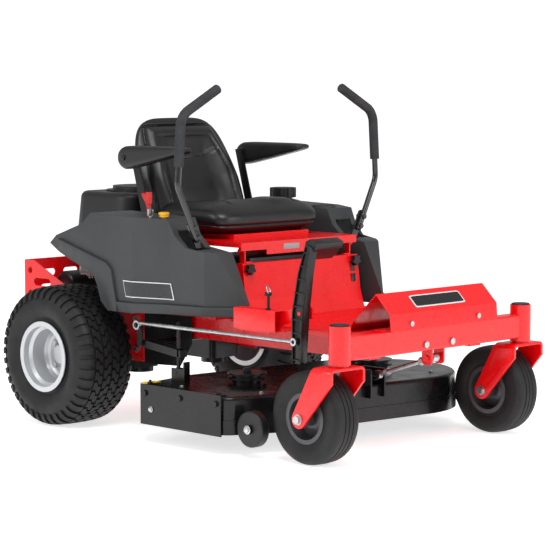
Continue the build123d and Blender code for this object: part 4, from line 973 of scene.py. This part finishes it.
LABEL_YELLOW = plain_plastic("label_yellow_vinyl", "E8C400", 0.4)
LABEL_GREY = plain_plastic("label_grey_vinyl", "9A9C9E", 0.4)
KEY_GREY = plain_plastic("key_grey_plastic", "505256", 0.4)
deck_fittings()
pedal_ribs()
under_seat()
pull_ring()
throttle_grip()
pull_knob()
key_head()
front_labels()
for side in (-1, 1):
    wheel_fittings(side)
for node, width in (("caster_fork_right", 3.5), ("caster_fork_left", 3.5), ("lift_bracket", 2.0)):
    softened_copy(node, width, RED)
softened_copy("lift_pedal", 2.5, BLACK)
softened_copy("engine_shroud", 6.0, PLASTIC)


# ---- floor, light and camera ------------------------------------------------------------
def make_stage():
    """Pale floor and an even white surround that lights softly but looks bright behind the machine."""
    bpy.ops.object.select_all(action="DESELECT")
    bpy.ops.mesh.primitive_plane_add(size=60, location=(0, 0, 0))
    floor = bpy.context.object
    floor.name = "studio_floor"
    mat, tree, shader = new_material("studio_floor_paint", "F2F2F2", 0.8)
    shader.inputs["Emission Color"].default_value = (1.0, 1.0, 1.0, 1.0)
    shader.inputs["Emission Strength"].default_value = 0.68
    floor.data.materials.append(mat)
    world = bpy.data.worlds.new("studio")
    bpy.context.scene.world = world
    world.use_nodes = True
    tree = world.node_tree
    soft = tree.nodes["Background"]
    soft.inputs["Color"].default_value = (1.0, 1.0, 1.0, 1.0)
    soft.inputs["Strength"].default_value = 0.45
    bright = add_node(tree, "ShaderNodeBackground", {"in:Color": (1.0, 1.0, 1.0, 1.0), "in:Strength": 1.1})
    path = add_node(tree, "ShaderNodeLightPath")
    mix = add_node(tree, "ShaderNodeMixShader")
    tree.links.new(path.outputs["Is Camera Ray"], mix.inputs[0])
    tree.links.new(soft.outputs[0], mix.inputs[1])
    tree.links.new(bright.outputs[0], mix.inputs[2])
    tree.links.new(mix.outputs[0], tree.nodes["World Output"].inputs["Surface"])
    bpy.context.scene.view_settings.view_transform = "Standard"


def area_light(name, at, aim, size, power):
    light = bpy.data.lights.new(name, "AREA")
    light.shape = "RECTANGLE"
    light.size, light.size_y = size
    light.energy = power
    lamp = bpy.data.objects.new(name, light)
    bpy.context.collection.objects.link(lamp)
    lamp.location = at
    lamp.rotation_euler = (Vector(aim) - Vector(at)).to_track_quat("-Z", "Y").to_euler()


def make_camera():
    """Long lens a little above the lever tips' height, off the front right corner."""
    heading, downward = math.radians(45.307), math.radians(5.414)
    data = bpy.data.cameras.new("camera")
    camera = bpy.data.objects.new("camera", data)
    bpy.context.collection.objects.link(camera)
    data.lens = 143.57
    data.sensor_width = 36.0
    data.clip_end = 200.0
    camera.location = (-4.9887, -5.1372, 1.1649)
    level = math.cos(downward)
    look = Vector((math.cos(heading) * level, math.sin(heading) * level, -math.sin(downward)))
    camera.rotation_euler = look.to_track_quat("-Z", "Y").to_euler()
    bpy.context.scene.camera = camera


make_stage()
area_light("key_softbox", (-1.8, -2.2, 4.6), (0, 0, 0.4), (2.6, 2.6), 170)
area_light("side_softbox", (-4.5, 1.5, 2.4), (0, 0.2, 0.5), (2.0, 2.5), 60)
area_light("front_softbox", (1.5, -4.8, 2.0), (0, -0.4, 0.4), (2.5, 2.0), 60)
make_camera()
